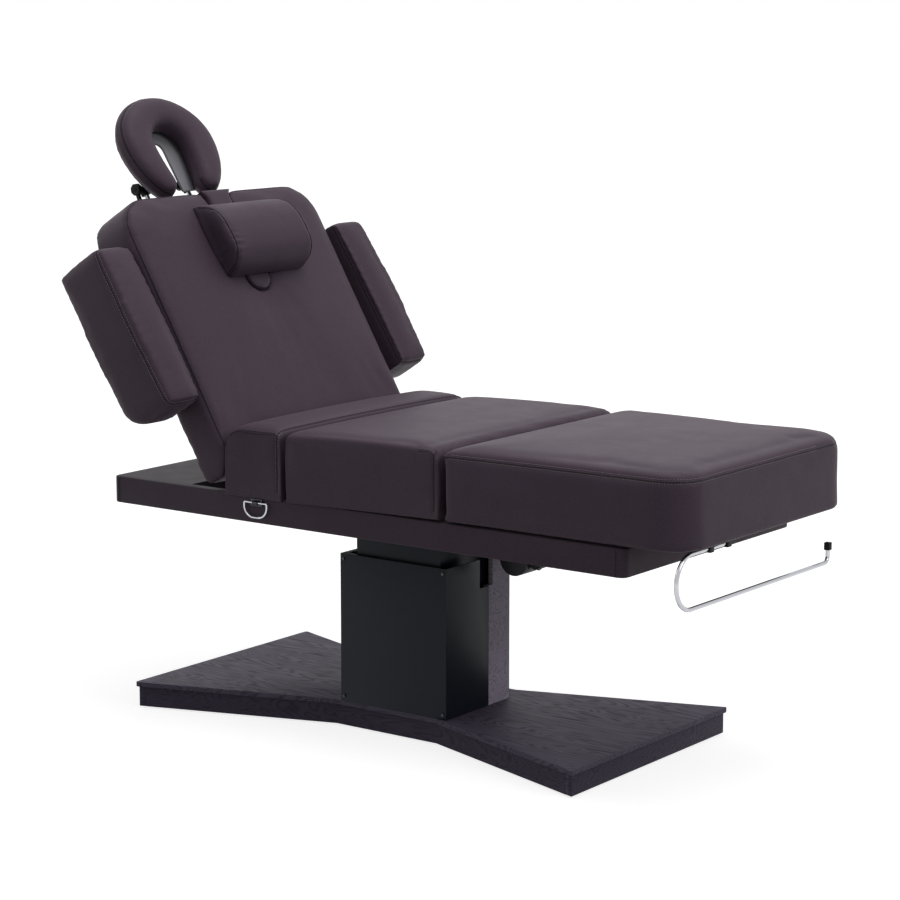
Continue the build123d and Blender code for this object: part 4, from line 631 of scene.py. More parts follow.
def sewn_block(name, outline, top, low, lip, ceiling):
    """A seat cover: a crowned top, straight sides, and a lip turned in under its board.
    outline gives the plan, top its height, and lip the inner box of the open underside."""
    x0, x1, half = outline
    cell, closer, drawn_in = sizes().pad_cell, 1.3, 0.003
    wall_rows = (0.06, 0.16, 0.32, 0.5, 0.68, 0.84, 0.95, 1.0)
    form = bmesh.new()
    bmesh.ops.create_grid(form, x_segments=max(8, round((x1 - x0) / cell * closer)),
                          y_segments=max(8, round(2 * half / cell)), size=0.5)
    middle = (x0 + x1) / 2
    for vertex in form.verts:
        s, t = (bunched(c + 0.5) for c in vertex.co.xy)
        x = x0 + s * (x1 - x0)
        y = (2 * t - 1) * (half - drawn_in * bow((x - middle) / (x1 - middle)))
        vertex.co = (x, y, top(x, y))
    edge = [e for e in form.edges if e.is_boundary]
    for share in wall_rows:
        edge, fresh = extruded(form, edge)
        for vertex in fresh:
            high = top(vertex.co.x, vertex.co.y)
            vertex.co.z = high + (low - high) * share
    for deep in (False, True):
        edge, fresh = extruded(form, edge)
        for vertex in fresh:
            vertex.co.x = min(lip[1], max(lip[0], vertex.co.x))
            vertex.co.y = min(LIP_HALF, max(-LIP_HALF, vertex.co.y))
            if deep:
                vertex.co.z = ceiling
    bmesh.ops.holes_fill(form, edges=edge, sides=0)
    bmesh.ops.remove_doubles(form, verts=form.verts, dist=SAME_POINT)
    bmesh.ops.recalc_face_normals(form, faces=form.faces)
    return piece_of(form, name)


def extruded(form, edge):
    """Extrudes an open edge once, and gives the new open edge and its points."""
    made = bmesh.ops.extrude_edge_only(form, edges=edge)["geom"]
    return ([g for g in made if isinstance(g, bmesh.types.BMEdge) and g.is_boundary],
            [g for g in made if isinstance(g, bmesh.types.BMVert)])


def pleat(piece, near, reach, depth, period, along):
    """Small gathers in the leather near a sewn corner, fading out over reach."""
    wander, wander_scale = 3, 40
    form = bmesh.new()
    form.from_mesh(piece.data)
    form.normal_update()
    for vertex in form.verts:
        fade = 1 - ease(0.0, reach, near(vertex.co))
        if fade > 0:
            turn = 2 * math.pi * along(vertex.co) / period
            wave = math.sin(turn + wander * noise.noise(vertex.co * wander_scale))
            vertex.co += vertex.normal * depth * fade * wave
    form.to_mesh(piece.data)
    form.free()


# Sewing

def plane_cut(piece, point, normal):
    """The lines where a plane meets the piece, each as a list of points."""
    form = bmesh.new()
    form.from_mesh(piece.data)
    if len(form.verts) > FINE_MESH:
        far = [v for v in form.verts if abs((v.co - point).dot(normal)) > NEAR_PLANE]
        bmesh.ops.delete(form, geom=far, context="VERTS")
    bmesh.ops.bisect_plane(form, geom=form.verts[:] + form.edges[:] + form.faces[:], dist=1e-6,
                           plane_co=point, plane_no=normal, clear_inner=True, clear_outer=True)
    lines, seen = [], set()
    for start in sorted(form.verts, key=lambda v: len(v.link_edges)):
        if start in seen or not start.link_edges:
            continue
        line, vertex = [], start
        while vertex is not None and vertex not in seen:
            seen.add(vertex)
            line.append(vertex.co.copy())
            ahead = [e.other_vert(vertex) for e in vertex.link_edges]
            vertex = next((v for v in ahead if v not in seen), None)
        if len(line) > SHORTEST_CUT:
            lines.append(line)
    form.free()
    return lines


def evenly(line, step):
    """Points that lie one step apart along a line."""
    even, gone = [line[0]], 0.0
    for a, b in zip(line, line[1:]):
        gap = (b - a).length
        while gone + gap >= step:
            a = a.lerp(b, (step - gone) / gap)
            gap, gone = (b - a).length, 0.0
            even.append(a)
        gone += gap
    return even


def cut_runs(piece, point, normal, keep, step):
    """Evenly spaced runs of points where a plane meets the piece, each with whether it closes."""
    runs = []
    for line in plane_cut(piece, point, normal):
        closed = (line[0] - line[-1]).length < CLOSED_WITHIN
        if closed:
            line.append(line[0])
        even = evenly(line, step)
        run = []
        for spot in even:
            if keep(spot):
                run.append(spot)
            else:
                if len(run) > SHORTEST_RUN:
                    runs.append((run, False))
                run = []
        if len(run) > SHORTEST_RUN:
            runs.append((run, closed and len(run) == len(even)))
    return runs


def sink(piece, point, normal, keep, depth):
    """Draws the leather in along a seam, in a soft valley."""
    moves = []
    for vertex in piece.data.vertices:
        off = (vertex.co - point).dot(normal)
        if abs(off) < VALLEY_WIDTH and keep(vertex.co):
            moves.append((vertex, vertex.normal * depth * bow(off / VALLEY_WIDTH) ** 2))
    for vertex, move in moves:
        vertex.co -= move


def seam(name, body, piece, point, normal, keep=lambda p: True, material="leather_cover",
         valley=0.0016):
    """A raised seam in a valley, with painted shade beside it, where a plane meets the cover."""
    normal = normal.normalized()
    sink(piece, point, normal, keep, valley)
    radius = sizes().seam_radius
    # The second, thinner tube, just below the seam, is painted shade: a dark line standing for the
    # shade of the fold beside it.
    for part, beside, size, finish in (("", 0.0, radius, material),
                                       ("_fold", -2.2 * radius, 0.8 * radius, "seam_fold")):
        line = round_wire(name + part, size, 1)
        for spots, closed in cut_runs(piece, point + normal * beside, normal, keep, SEAM_STEP):
            spline = line.splines.new("POLY")
            spline.points.add(len(spots) - 1)
            for target, spot in zip(spline.points, spots):
                target.co = (*spot, 1.0)
            spline.use_cyclic_u = closed
        as_tube(name + part, body, line, finish)


def stitches(name, body, piece, rows, keep=lambda p: True):
    """Rows of short stitches that lie on the cover where planes meet it."""
    form = bmesh.new()
    length, pitch = sizes().stitch_length, sizes().stitch_pitch
    for point, normal in rows:
        for spots, _ in cut_runs(piece, point, normal, keep, pitch):
            for a, b in zip(spots, spots[1:]):
                turn = (b - a).normalized().to_track_quat("Z", "Y").to_matrix().to_4x4()
                bmesh.ops.create_cone(form, cap_ends=True, segments=5, radius1=THREAD_RADIUS,
                                      radius2=THREAD_RADIUS, depth=length,
                                      matrix=Matrix.Translation((a + b) / 2) @ turn)
    thread = dressed(piece_of(form, name), the("thread"))
    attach(thread, body)


class SPABED_OT_seat_pads(bpy.types.Operator):
    """Sewn covers of the hip, thigh and leg pads"""
    bl_idname = "spa_bed.seat_pads"
    bl_label = "Seat pads"

    def execute(self, context):
        self.hip()
        self.thigh()
        self.leg()
        return {"FINISHED"}

    def hip(self):
        """The hip pad: its head end rolls over under the back, its foot end is boxed."""
        low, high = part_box("hip_cushion")
        board_low, board_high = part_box("hip_board")
        deck, nose, heel = 0.7085, 0.048, 0.018
        side_crown, middle_crown = 0.010, 0.004
        past_foot, lip_head, lip_foot, lip_gap = 0.0008, 0.0006, 0.0002, 0.0003
        lean, wall_free, held_end = 0.0025, 0.64, 0.03

        def top(x, y):
            crown = (side_crown * rise(PAD_HALF - abs(y), CROWN_REACH)
                     + middle_crown * bow(y / PAD_HALF))
            return (deck + crown - nose * (1 - rise(x - low.x, nose))
                    - heel * (1 - rise(high.x - x, heel)))

        hip = sewn_block("hip_cover", (low.x, high.x + past_foot, COVER_HALF), top, low.z,
                         (board_low.x - lip_head, board_high.x + lip_foot),
                         board_high.z + lip_gap)
        for vertex in hip.data.vertices:
            if vertex.co.x > high.x - END_WALL:
                vertex.co.x -= lean * ease(*TOP_LEANS, vertex.co.z)
        puff(hip, lambda p: (ease(WALL_HOLDS, wall_free, p.z)
                             * ease(low.x, low.x + held_end, p.x)
                             * ease(0, held_end, high.x - p.x)), swell=0.004)
        finished_pad(hip, "carriage", ["hip_cushion"], 2)

    def thigh(self):
        """The thigh pad: drawn level, then tilted about its hinge as it rests."""
        hinge, rest_tilt = joint_place("thigh_hinge"), -math.radians(1.43)
        tilt = (Matrix.Translation(hinge) @ Matrix.Rotation(rest_tilt, 4, "Y")
                @ Matrix.Translation(-hinge))
        x0, x1 = THIGH_HEAD, THIGH_FOOT
        deck, foot_drop, roll_head, roll_foot = 0.7055, 0.002, 0.013, 0.024
        side_crown, middle_crown, long_crown = 0.009, 0.003, 0.003
        under, ceiling, lip_gap = 0.5568, 0.5738, 0.0002
        past_head, past_foot = 0.0004, 0.0008
        fullness, foot_fuller, head_lean, corner_reach = 0.0032, 1.6, 0.004, 0.04
        fills, narrows, wall_free, held_end = (0.57, 0.61), (0.64, 0.70), 0.65, 0.02

        def top(x, y):
            share = (x - x0) / (x1 - x0)
            crown = (side_crown * rise(PAD_HALF - abs(y), CROWN_REACH)
                     + middle_crown * bow(y / PAD_HALF) + long_crown * bow(2 * share - 1))
            return (deck - foot_drop * share + crown - roll_head * (1 - rise(x - x0, roll_head))
                    - roll_foot * (1 - rise(x1 - x, roll_foot)))

        thigh = sewn_block("thigh_cover", (x0 - past_head, x1 + past_foot, COVER_HALF), top,
                           under, (x0 + lip_gap, x1 - lip_gap), ceiling)
        # both ends fill out between the seams, where the next pad stays clear
        for vertex in thigh.data.vertices:
            x, y, z = vertex.co
            belly = fullness * ease(*fills, z) * (1 - ease(*narrows, z))
            belly *= rise(PAD_HALF - abs(y), corner_reach)
            if x > x1 - END_WALL:
                vertex.co.x += foot_fuller * belly
            elif x < x0 + END_WALL:
                vertex.co.x += head_lean * ease(*TOP_LEANS, z) - belly
        thigh.data.transform(tilt)
        puff(thigh, lambda p: (ease(WALL_HOLDS, wall_free, p.z) * ease(0, held_end, x1 - p.x)
                               * ease(x0, x0 + held_end, p.x)), swell=0.005)
        gather_top, gather_tall = 0.72, 0.3
        pleat(thigh, lambda p: math.hypot(x1 - p.x, gather_tall * (gather_top - p.z)),
              reach=0.035, depth=0.0010, period=0.028, along=lambda p: p.y + p.x)
        finished_pad(thigh, "thigh", ["thigh_cushion"], 2)

    def leg(self):
        """The leg pad: round foot corners, a full top, and a head end that leans forward."""
        low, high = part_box("leg_cushion")
        board_top, corner = 0.579, 0.084
        lift, foot_lift, crown, crown_reach, crown_head = 0.016, 0.003, 0.004, 0.03, 0.02
        lean, top_lean, head_end = 0.006, 0.008, 0.02
        lifts, crowns, leans, top_leans = (0.60, 0.70), (0.688, 0.700), (0.58, 0.62), (0.67, 0.70)
        wall_free, head_held, head_free = 0.65, 0.004, 0.03
        leg = foam_body("leg_cover", "leg_cushion", sizes().large_voxel, 7,
                        lambda p: ease(*leans, p.z), 0.0012, lambda p: p.z < board_top)
        for vertex in leg.data.vertices:
            x, y, z = vertex.co
            past_x, past_y = x - (high.x - corner), abs(y) - (PAD_HALF - corner)
            inset = min(high.x - x, PAD_HALF - abs(y))
            if past_x > 0 and past_y > 0:
                inset = corner - math.hypot(past_x, past_y)
            share = (x - low.x) / (high.x - low.x)
            up = (lift + foot_lift * share) * ease(*lifts, z)
            up += (crown * rise(inset, crown_reach) * rise(x - low.x + head_held, crown_head)
                   * ease(*crowns, z))
            vertex.co.z += up
            if x < low.x + head_end:
                forward = lean * ease(*leans, z) + top_lean * ease(*top_leans, z)
                vertex.co.x -= forward * (1 - ease(low.x, low.x + head_end, x))
        puff(leg, lambda p: (ease(WALL_HOLDS, wall_free, p.z)
                             * ease(low.x + head_held, low.x + head_free, p.x)),
             swell=0.006, calm=5)
        in_x, at_y, at_z, slant = 0.03, -0.31, 0.712, 0.8
        pleat(leg, lambda p: math.hypot(p.x - high.x + in_x, p.y - at_y, slant * (p.z - at_z)),
              reach=0.045, depth=0.0012, period=0.024, along=lambda p: p.y - slant * p.x)
        finished_pad(leg, "leg", ["leg_cushion"], 1)


class SPABED_OT_back_pad(bpy.types.Operator):
    """Sewn cover of the long back pad and the plug in its face slot"""
    bl_idname = "spa_bed.back_pad"
    bl_label = "Back pad and plug"

    def execute(self, context):
        board_face, board_foot, board_half = -0.036, 0.04, 0.33
        slot_foot, slot_edge, slot_reach = 0.428, 0.046, 0.075
        front, foot, shrinks = (-0.01, 0.03), (0.0, 0.05), (0.0, 0.02)

        def stiff(p):
            up, out = back_place(p)
            return out < board_face and up > board_foot and abs(p.y) < board_half

        def loose(p):
            up, out = back_place(p)
            beside_slot = math.hypot(p.y, min(0.0, up - slot_foot))
            return (ease(*front, out) * ease(slot_edge, slot_reach, beside_slot)
                    * ease(*foot, up))

        back = foam_body("back_cover", "back_cushion", sizes().large_voxel, 6,
                         lambda p: ease(*shrinks, back_place(p)[1]), 0.0006, stiff)
        puff(back, loose, swell=0.007, calm=7)
        finished_pad(back, "back", ["back_cushion"], 1)
        plug = foam_body("plug_cover", "face_plug", sizes().small_voxel, 5,
                         lambda p: 1.0, 0.0004, lambda p: False)
        finished_pad(plug, "slot_plug", ["face_plug"], 1)
        return {"FINISHED"}


class SPABED_OT_armrests(bpy.types.Operator):
    """Sewn covers of the two armrests"""
    bl_idname = "spa_bed.armrests"
    bl_label = "Armrests"

    def execute(self, context):
        coarser, inner_wall, fuller = 1.25, 0.377, -0.003
        eases, frees = (0.385, 0.40), (0.385, 0.41)
        near = foam_body("armrest_cover_near", "armrest_pad_near",
                         coarser * sizes().small_voxel, 5,
                         lambda p: ease(*eases, abs(p.y)), fuller,
                         lambda p: abs(p.y) < inner_wall)
        puff(near, lambda p: ease(*frees, abs(p.y)), swell=0.006)
        mesh = near.data.copy()
        mesh.transform(Matrix.Scale(-1, 4, ACROSS))
        mesh.flip_normals()
        far = new_piece("armrest_cover_far", mesh)
        for end, pad in (("near", near), ("far", far)):
            finished_pad(pad, f"armrest_{end}", [f"armrest_pad_{end}"], 1)
        return {"FINISHED"}


class SPABED_OT_head_pads(bpy.types.Operator):
    """Sewn covers of the pillow and the face cradle"""
    bl_idname = "spa_bed.head_pads"
    bl_label = "Pillow and cradle"

    def execute(self, context):
        low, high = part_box("pillow")
        flat_under, eases, frees, firmer = 0.014, (0.02, 0.03), (0.018, 0.035), 1.25
        gather, gather_up = 0.02, 0.48
        pillow = foam_body("pillow_cover", "pillow", sizes().small_voxel, 5,
                           lambda p: ease(*eases, above_back(p)), 0.002,
                           lambda p: above_back(p) < flat_under)
        puff(pillow, lambda p: ease(*frees, above_back(p)), 0.007, firmer)
        pleat(pillow,
              lambda p: abs(p.y - low.y - gather) + 0.6 * abs(back_place(p)[0] - gather_up),
              reach=0.035, depth=0.0016, period=0.016, along=lambda p: back_place(p)[0])
        finished_pad(pillow, "back", ["pillow"], 1)
        plate_face, front, fuller = -0.0335, (-0.026, -0.01), -0.008

        def in_front(p):
            return ease(*front, back_place(p)[1])

        cradle = foam_body("cradle_cover", "cradle_cushion", sizes().small_voxel, 7, in_front,
                           fuller, lambda p: back_place(p)[1] < plate_face)
        puff(cradle, in_front, 0.004, firmer)
        finished_pad(cradle, "cradle", ["cradle_cushion"], 1)
        return {"FINISHED"}


class SPABED_OT_frame_cover(bpy.types.Operator):
    """The leather wrapped round the bed frame's four rails"""
    bl_idname = "spa_bed.frame_cover"
    bl_label = "Frame cover"

    def execute(self, context):
        rails = [f"frame_rail_{side}" for side in ("near", "far", "head", "foot")]
        near, far, head, foot = (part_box(rail) for rail in rails)
        rail_width, over, corner, edge = 0.025, 0.02, 0.018, 0.0035
        cover = self.block("frame_cover", (head[0].x, near[0].y, head[0].z),
                           (foot[1].x, far[1].y, head[1].z), corner, edge)
        opening = self.block("frame_opening",
                             (head[1].x, near[0].y + rail_width, head[0].z - over),
                             (foot[0].x, far[1].y - rail_width, head[1].z + over))
        cut = cover.modifiers.new("opening", "BOOLEAN")
        cut.operation = "DIFFERENCE"
        cut.solver = "EXACT"
        cut.object = opening
        settled(cover)
        bpy.data.objects.remove(opening)
        dressed(cover, the("leather_frame"))
        sharp = cover.modifiers.new("sharp", "EDGE_SPLIT")
        sharp.split_angle = math.radians(40)
        settled(cover)
        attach(cover, "carriage")
        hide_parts(*rails)
        middle_z, seam_inset, corner_half = 0.53, 0.02, 0.335
        for name, x in (("frame_seam_foot", foot[1].x - seam_inset),
                        ("frame_seam_head", head[0].x + seam_inset)):
            seam(name, "carriage", cover, Vector((x, 0, middle_z)), LENGTHWAYS,
                 lambda p: abs(p.y) > corner_half, "leather_frame", 0.0)
        return {"FINISHED"}

    def block(self, name, low, high, corner=0.0, edge=0.0):
        """A box between two corners, with its upright edges and then its rims rounded."""
        form = bmesh.new()
        bmesh.ops.create_cube(form, size=1.0)
        for vertex in form.verts:
            vertex.co = [a if c < 0 else b for c, a, b in zip(vertex.co, low, high)]
        if corner:
            upright = [e for e in form.edges if self.height(e) > 0.01]
            bmesh.ops.bevel(form, geom=upright, offset=corner, segments=5, profile=0.5,
                            affect="EDGES", material=-1)
            rims = [e for e in form.edges if self.height(e) < 1e-6]
            bmesh.ops.bevel(form, geom=rims, offset=edge, segments=3, profile=0.5,
                            affect="EDGES", material=-1)
        return piece_of(form, name)

    def height(self, edge):
        return abs(edge.verts[0].co.z - edge.verts[1].co.z)


class SPABED_OT_sewing(bpy.types.Operator):
    """Raised seams and rows of stitches on the covers"""
    bl_idname = "spa_bed.sewing"
    bl_label = "Sewing"

    def execute(self, context):
        self.leg()
        self.hip_and_thigh()
        self.back_and_armrests()
        self.pillow_and_cradle()
        return {"FINISHED"}

    def leg(self):
        leg = bpy.data.objects["leg_cover"]
        wall_foot, lean, inset = 0.58, 0.010, 0.007
        rising, seam_place = Vector((-0.005, 0, 1)).normalized(), Vector((0.6, 0, 0.7090))
        row_below, row_above, rows_from_x, rows_to_y = 0.0042, 0.0036, 0.32, 0.2
        seam("leg_top_seam", "leg", leg, seam_place, rising)
        stitches("leg_top_stitches", "leg", leg,
                 [(seam_place - rising * row_below, rising),
                  (seam_place + rising * row_above, rising)],
                 lambda p: p.y < rows_to_y and p.x > rows_from_x)
        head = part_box("leg_cushion")[0].x - lean
        seam("leg_end_seam", "leg", leg, Vector((head + inset, 0, 0)), LENGTHWAYS,
             lambda p: p.z > wall_foot)

    def hip_and_thigh(self):
        hip, thigh = bpy.data.objects["hip_cover"], bpy.data.objects["thigh_cover"]
        wall_foot, hip_wall_foot, corner_half, near_wall = 0.58, 0.575, 0.335, -0.33
        hip_seam_foot, thigh_seam_foot, foot_gap, thigh_part = 0.655, 0.66, 0.012, (0.235, 0.285)
        thigh_inset, hip_inset, stitch_insets = 0.009, 0.010, (0.0065, 0.0135)
        seam("thigh_end_seam", "thigh", thigh, Vector((THIGH_FOOT - thigh_inset, 0, 0)),
             LENGTHWAYS, lambda p: p.z > wall_foot and abs(p.y) > corner_half)
        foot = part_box("hip_cushion")[1].x
        seam("hip_end_seam", "carriage", hip, Vector((foot - hip_inset, 0, 0)), LENGTHWAYS,
             lambda p: p.z > hip_wall_foot)
        stitches("hip_end_stitches", "carriage", hip,
                 [(Vector((foot - inset, 0, 0)), LENGTHWAYS) for inset in stitch_insets],
                 lambda p: p.z > wall_foot and p.y < near_wall)
        for side, end in ((-1, "near"), (1, "far")):
            place, inwards = ACROSS * side * SEAM_HALF, -ACROSS * side
            seam(f"hip_side_seam_{end}", "carriage", hip, place, inwards,
                 lambda p: p.z > hip_seam_foot and p.x < foot - foot_gap)
            seam(f"thigh_side_seam_{end}", "thigh", thigh, place, inwards,
                 lambda p: p.z > thigh_seam_foot and thigh_part[0] < p.x < thigh_part[1])

    def back_and_armrests(self):
        back = bpy.data.objects["back_cover"]
        slant = (OUT_OF_BACK - UP_BACK * FACE_SLOPE).normalized()
        below_face, pad_foot, slot_half, plug_foot = 0.007, 0.01, 0.09, 0.6
        seam("back_edge_seam", "back", back, on_back(0, FACE_HEIGHT - below_face), slant,
             lambda p: (back_place(p)[0] > pad_foot
                        and (abs(p.y) > slot_half or back_place(p)[0] > plug_foot)))
        pad_middle, seam_out, stitch_rows, outer_half = 0.3, 0.062, (0.0575, 0.0657), 0.39
        for end in ("near", "far"):
            pad, body = bpy.data.objects[f"armrest_cover_{end}"], f"armrest_{end}"
            seam(f"armrest_front_seam_{end}", body, pad, on_back(pad_middle, seam_out),
                 OUT_OF_BACK)
            stitches(f"armrest_front_stitches_{end}", body, pad,
                     [(on_back(pad_middle, out), OUT_OF_BACK) for out in stitch_rows],
                     lambda p: abs(p.y) > outer_half)

    def pillow_and_cradle(self):
        low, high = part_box("pillow")
        end_inset, seam_foot = 0.0125, 0.016
        # The pillow's end seams are drawn wholly in the painted shade colour: dark lines of shade
        # along its end caps.
        for end, y in (("near", low.y + end_inset), ("far", high.y - end_inset)):
            seam(f"pillow_seam_{end}", "back", bpy.data.objects["pillow_cover"],
                 Vector((0, y, 0)), ACROSS, lambda p: above_back(p) > seam_foot, "seam_fold")
        low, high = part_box("cradle_cushion")
        outer_share, rim_up, rim_out = 0.36, 0.83, 0.008
        middle, outer = (low + high) / 2, outer_share * (high.y - low.y)
        # The cradle's rim seam is drawn wholly in the painted shade colour: a dark line of shade
        # round its outer side.
        seam("cradle_rim_seam", "cradle", bpy.data.objects["cradle_cover"],
             on_back(rim_up, rim_out), OUT_OF_BACK,
             lambda p: math.hypot((p - middle).dot(UP_BACK), p.y) > outer, "seam_fold")


class SPABED_OT_bright_wire(bpy.types.Operator):
    """The chrome roll bar with its rubber cap, and the pull ring, bent from round wire"""
    bl_idname = "spa_bed.bright_wire"
    bl_label = "Bright wire"

    def execute(self, context):
        self.roll_bar()
        self.cap()
        self.pull_ring()
        return {"FINISHED"}

    def roll_bar(self):
        """Out of the clips, round the half-round hook, along, and up into the cap."""
        tip_low, tip_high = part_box("roll_bar_tip")
        x, start_y, hook_y, end_y = BAR_X, -0.130, -0.276, (tip_low.y + tip_high.y) / 2
        foot, top, hook, turn, into_tip = 0.440, 0.556, 0.058, 0.015, 0.012
        h, t = hook * QUARTER_HANDLE, turn * QUARTER_HANDLE
        self.bend("roll_bar_wire", "leg", [
            ((x, start_y, top), (0, 0.01, 0), (0, -0.01, 0)),
            ((x, hook_y, top), (0, 0.02, 0), (0, -h, 0)),
            ((x, hook_y - hook, top - hook), (0, 0, h), (0, 0, -h)),
            ((x, hook_y, foot), (0, -h, 0), (0, 0.05, 0)),
            ((x, end_y - turn, foot), (0, -0.05, 0), (0, t, 0)),
            ((x, end_y, foot + turn), (0, 0, -t), (0, 0, 0.003)),
            ((x, end_y, tip_low.z + into_tip), (0, 0, -0.003), (0, 0, 0.003)),
        ], False, 0.005, "roll_bar")

    def cap(self):
        """The small square rubber cap on the end of the roll bar."""
        low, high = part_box("roll_bar_tip")
        middle = Vector((BAR_X, (low.y + high.y) / 2, (low.z + high.z) / 2))
        size, edge = Vector((0.0135, 0.0135, 0.0175)), 0.0016
        form = bmesh.new()
        bmesh.ops.create_cube(form, size=1.0)
        for vertex in form.verts:
            vertex.co = middle + vertex.co * size
        bmesh.ops.bevel(form, geom=form.edges[:], offset=edge, segments=3, profile=0.5,
                        affect="EDGES", material=-1)
        cap = dressed(piece_of(form, "roll_bar_cap"), the("black_rubber"))
        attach(cap, "leg")
        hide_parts("roll_bar_tip")

    def pull_ring(self):
        """A D with a straight top, straight sides and a round foot."""
        low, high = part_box("pull_ring")
        wire, round_foot, top_corner, straight = 0.0023, 0.026, 0.004, 0.004
        y = (low.y + high.y) / 2
        a, b, top, foot = low.x + wire, high.x - wire, high.z - wire, low.z + wire
        r, s = round_foot, top_corner
        big, small = r * QUARTER_HANDLE, s * QUARTER_HANDLE
        self.bend("pull_ring_wire", "ring", [
            ((a, y, top - s), (0, 0, -straight), (0, 0, small)),
            ((a + s, y, top), (-small, 0, 0), (straight, 0, 0)),
            ((b - s, y, top), (-straight, 0, 0), (small, 0, 0)),
            ((b, y, top - s), (0, 0, small), (0, 0, -straight)),
            ((b, y, foot + r), (0, 0, straight), (0, 0, -big)),
            ((b - r, y, foot), (big, 0, 0), (-straight, 0, 0)),
            ((a + r, y, foot), (straight, 0, 0), (-big, 0, 0)),
            ((a, y, foot + r), (0, 0, -big), (0, 0, straight)),
        ], True, wire, "pull_ring")

    def bend(self, name, body, path, closed, radius, node):
        """Round wire along a path of places, each with its handles before and after it."""
        line = round_wire(name, radius, 6)
        line.resolution_u = 20
        spline = line.splines.new("BEZIER")
        spline.bezier_points.add(len(path) - 1)
        for knot, (place, before, after) in zip(spline.bezier_points, path):
            knot.handle_left_type = knot.handle_right_type = "FREE"
            knot.co = place
            knot.handle_left = Vector(place) + Vector(before)
            knot.handle_right = Vector(place) + Vector(after)
        spline.use_cyclic_u = closed
        piece = as_tube(name, body, line, "polished_chrome")
        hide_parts(node)


class SPABED_OT_hard_finishes(bpy.types.Operator):
    """Finishes and worn edges of the boards, steel, housings, chrome and rubber"""
    bl_idname = "spa_bed.hard_finishes"
    bl_label = "Boards, steel and housings"

    PLAN = {
        "ash_veneer_panel": ["base_top_panel"],
        "casing_veneer_painted_light": ["column_far_casing"],
        "stained_board": [
            "base_skirt_near", "base_skirt_far", "base_skirt_head", "base_skirt_foot"],
        "powder_coat_column": ["column_near_cover", "column_inner_sleeve"],
        "powder_coat_black": [
            "base_steel_frame", "lift_guide_outer", "lift_guide_inner", "cross_bars",
            "chassis_rails", "hip_hinge_leaf", "thigh_frame", "leg_frame", "back_hinge_ears",
            "back_hinge_frame", "armrest_bracket_near", "armrest_bracket_far",
            "armrest_arm_near", "armrest_arm_far", "cradle_sockets", "roll_bar_clips",
            "cradle_crossbar", "cam_lever"],
        "powder_coat_plate": ["cradle_plate"],
        "polished_chrome": ["roll_bar", "cradle_rods", "pull_ring"],
        "black_chrome": ["cover_screws", "ring_plate"],
        "ground_steel": ["lift_actuator_rod", "knee_actuator_rod", "back_actuator_rod"],
        "moulded_housing": [
            "lift_actuator_body", "knee_actuator_body", "back_actuator_body", "control_box"],
        "black_rubber": ["levelling_feet", "roll_bar_tip"],
        "nylon_strip": ["leg_glides"],
        "birch_plywood": ["hip_board", "thigh_board", "leg_board", "back_board"],
        "leather_frame": [
            "head_deck", "frame_rail_near", "frame_rail_far", "frame_rail_head",
            "frame_rail_foot"],
        "leather_cover": [
            "hip_cushion", "thigh_cushion", "leg_cushion", "back_cushion", "face_plug",
            "pillow", "armrest_pad_near", "armrest_pad_far", "cradle_cushion"],
    }
    BEVELLED = ("ash_veneer_panel", "casing_veneer_painted_light", "stained_board", "powder_coat_column",
                "powder_coat_black", "powder_coat_plate", "moulded_housing", "black_rubber")

    def execute(self, context):
        for finish, names in self.PLAN.items():
            for name in names:
                solid = frame["nodes"][name]
                solid.data.materials.clear()
                solid.data.materials.append(the(finish))
                if not solid.hide_render:
                    self.work(solid, finish in self.BEVELLED)
        return {"FINISHED"}

    def work(self, solid, bevelled):
        """Worn edges where the finish has them, and smooth shading between sharp edges."""
        weld = solid.modifiers.new("weld", "WELD")
        weld.merge_threshold = SAME_POINT
        if bevelled:
            edge = solid.modifiers.new("edge", "BEVEL")
            edge.limit_method = "ANGLE"
            edge.angle_limit = math.radians(38)
            edge.width = sizes().board_edge
            edge.segments = 2
        split = solid.modifiers.new("split", "EDGE_SPLIT")
        split.split_angle = math.radians(32)
        for face in solid.data.polygons:
            face.use_smooth = True


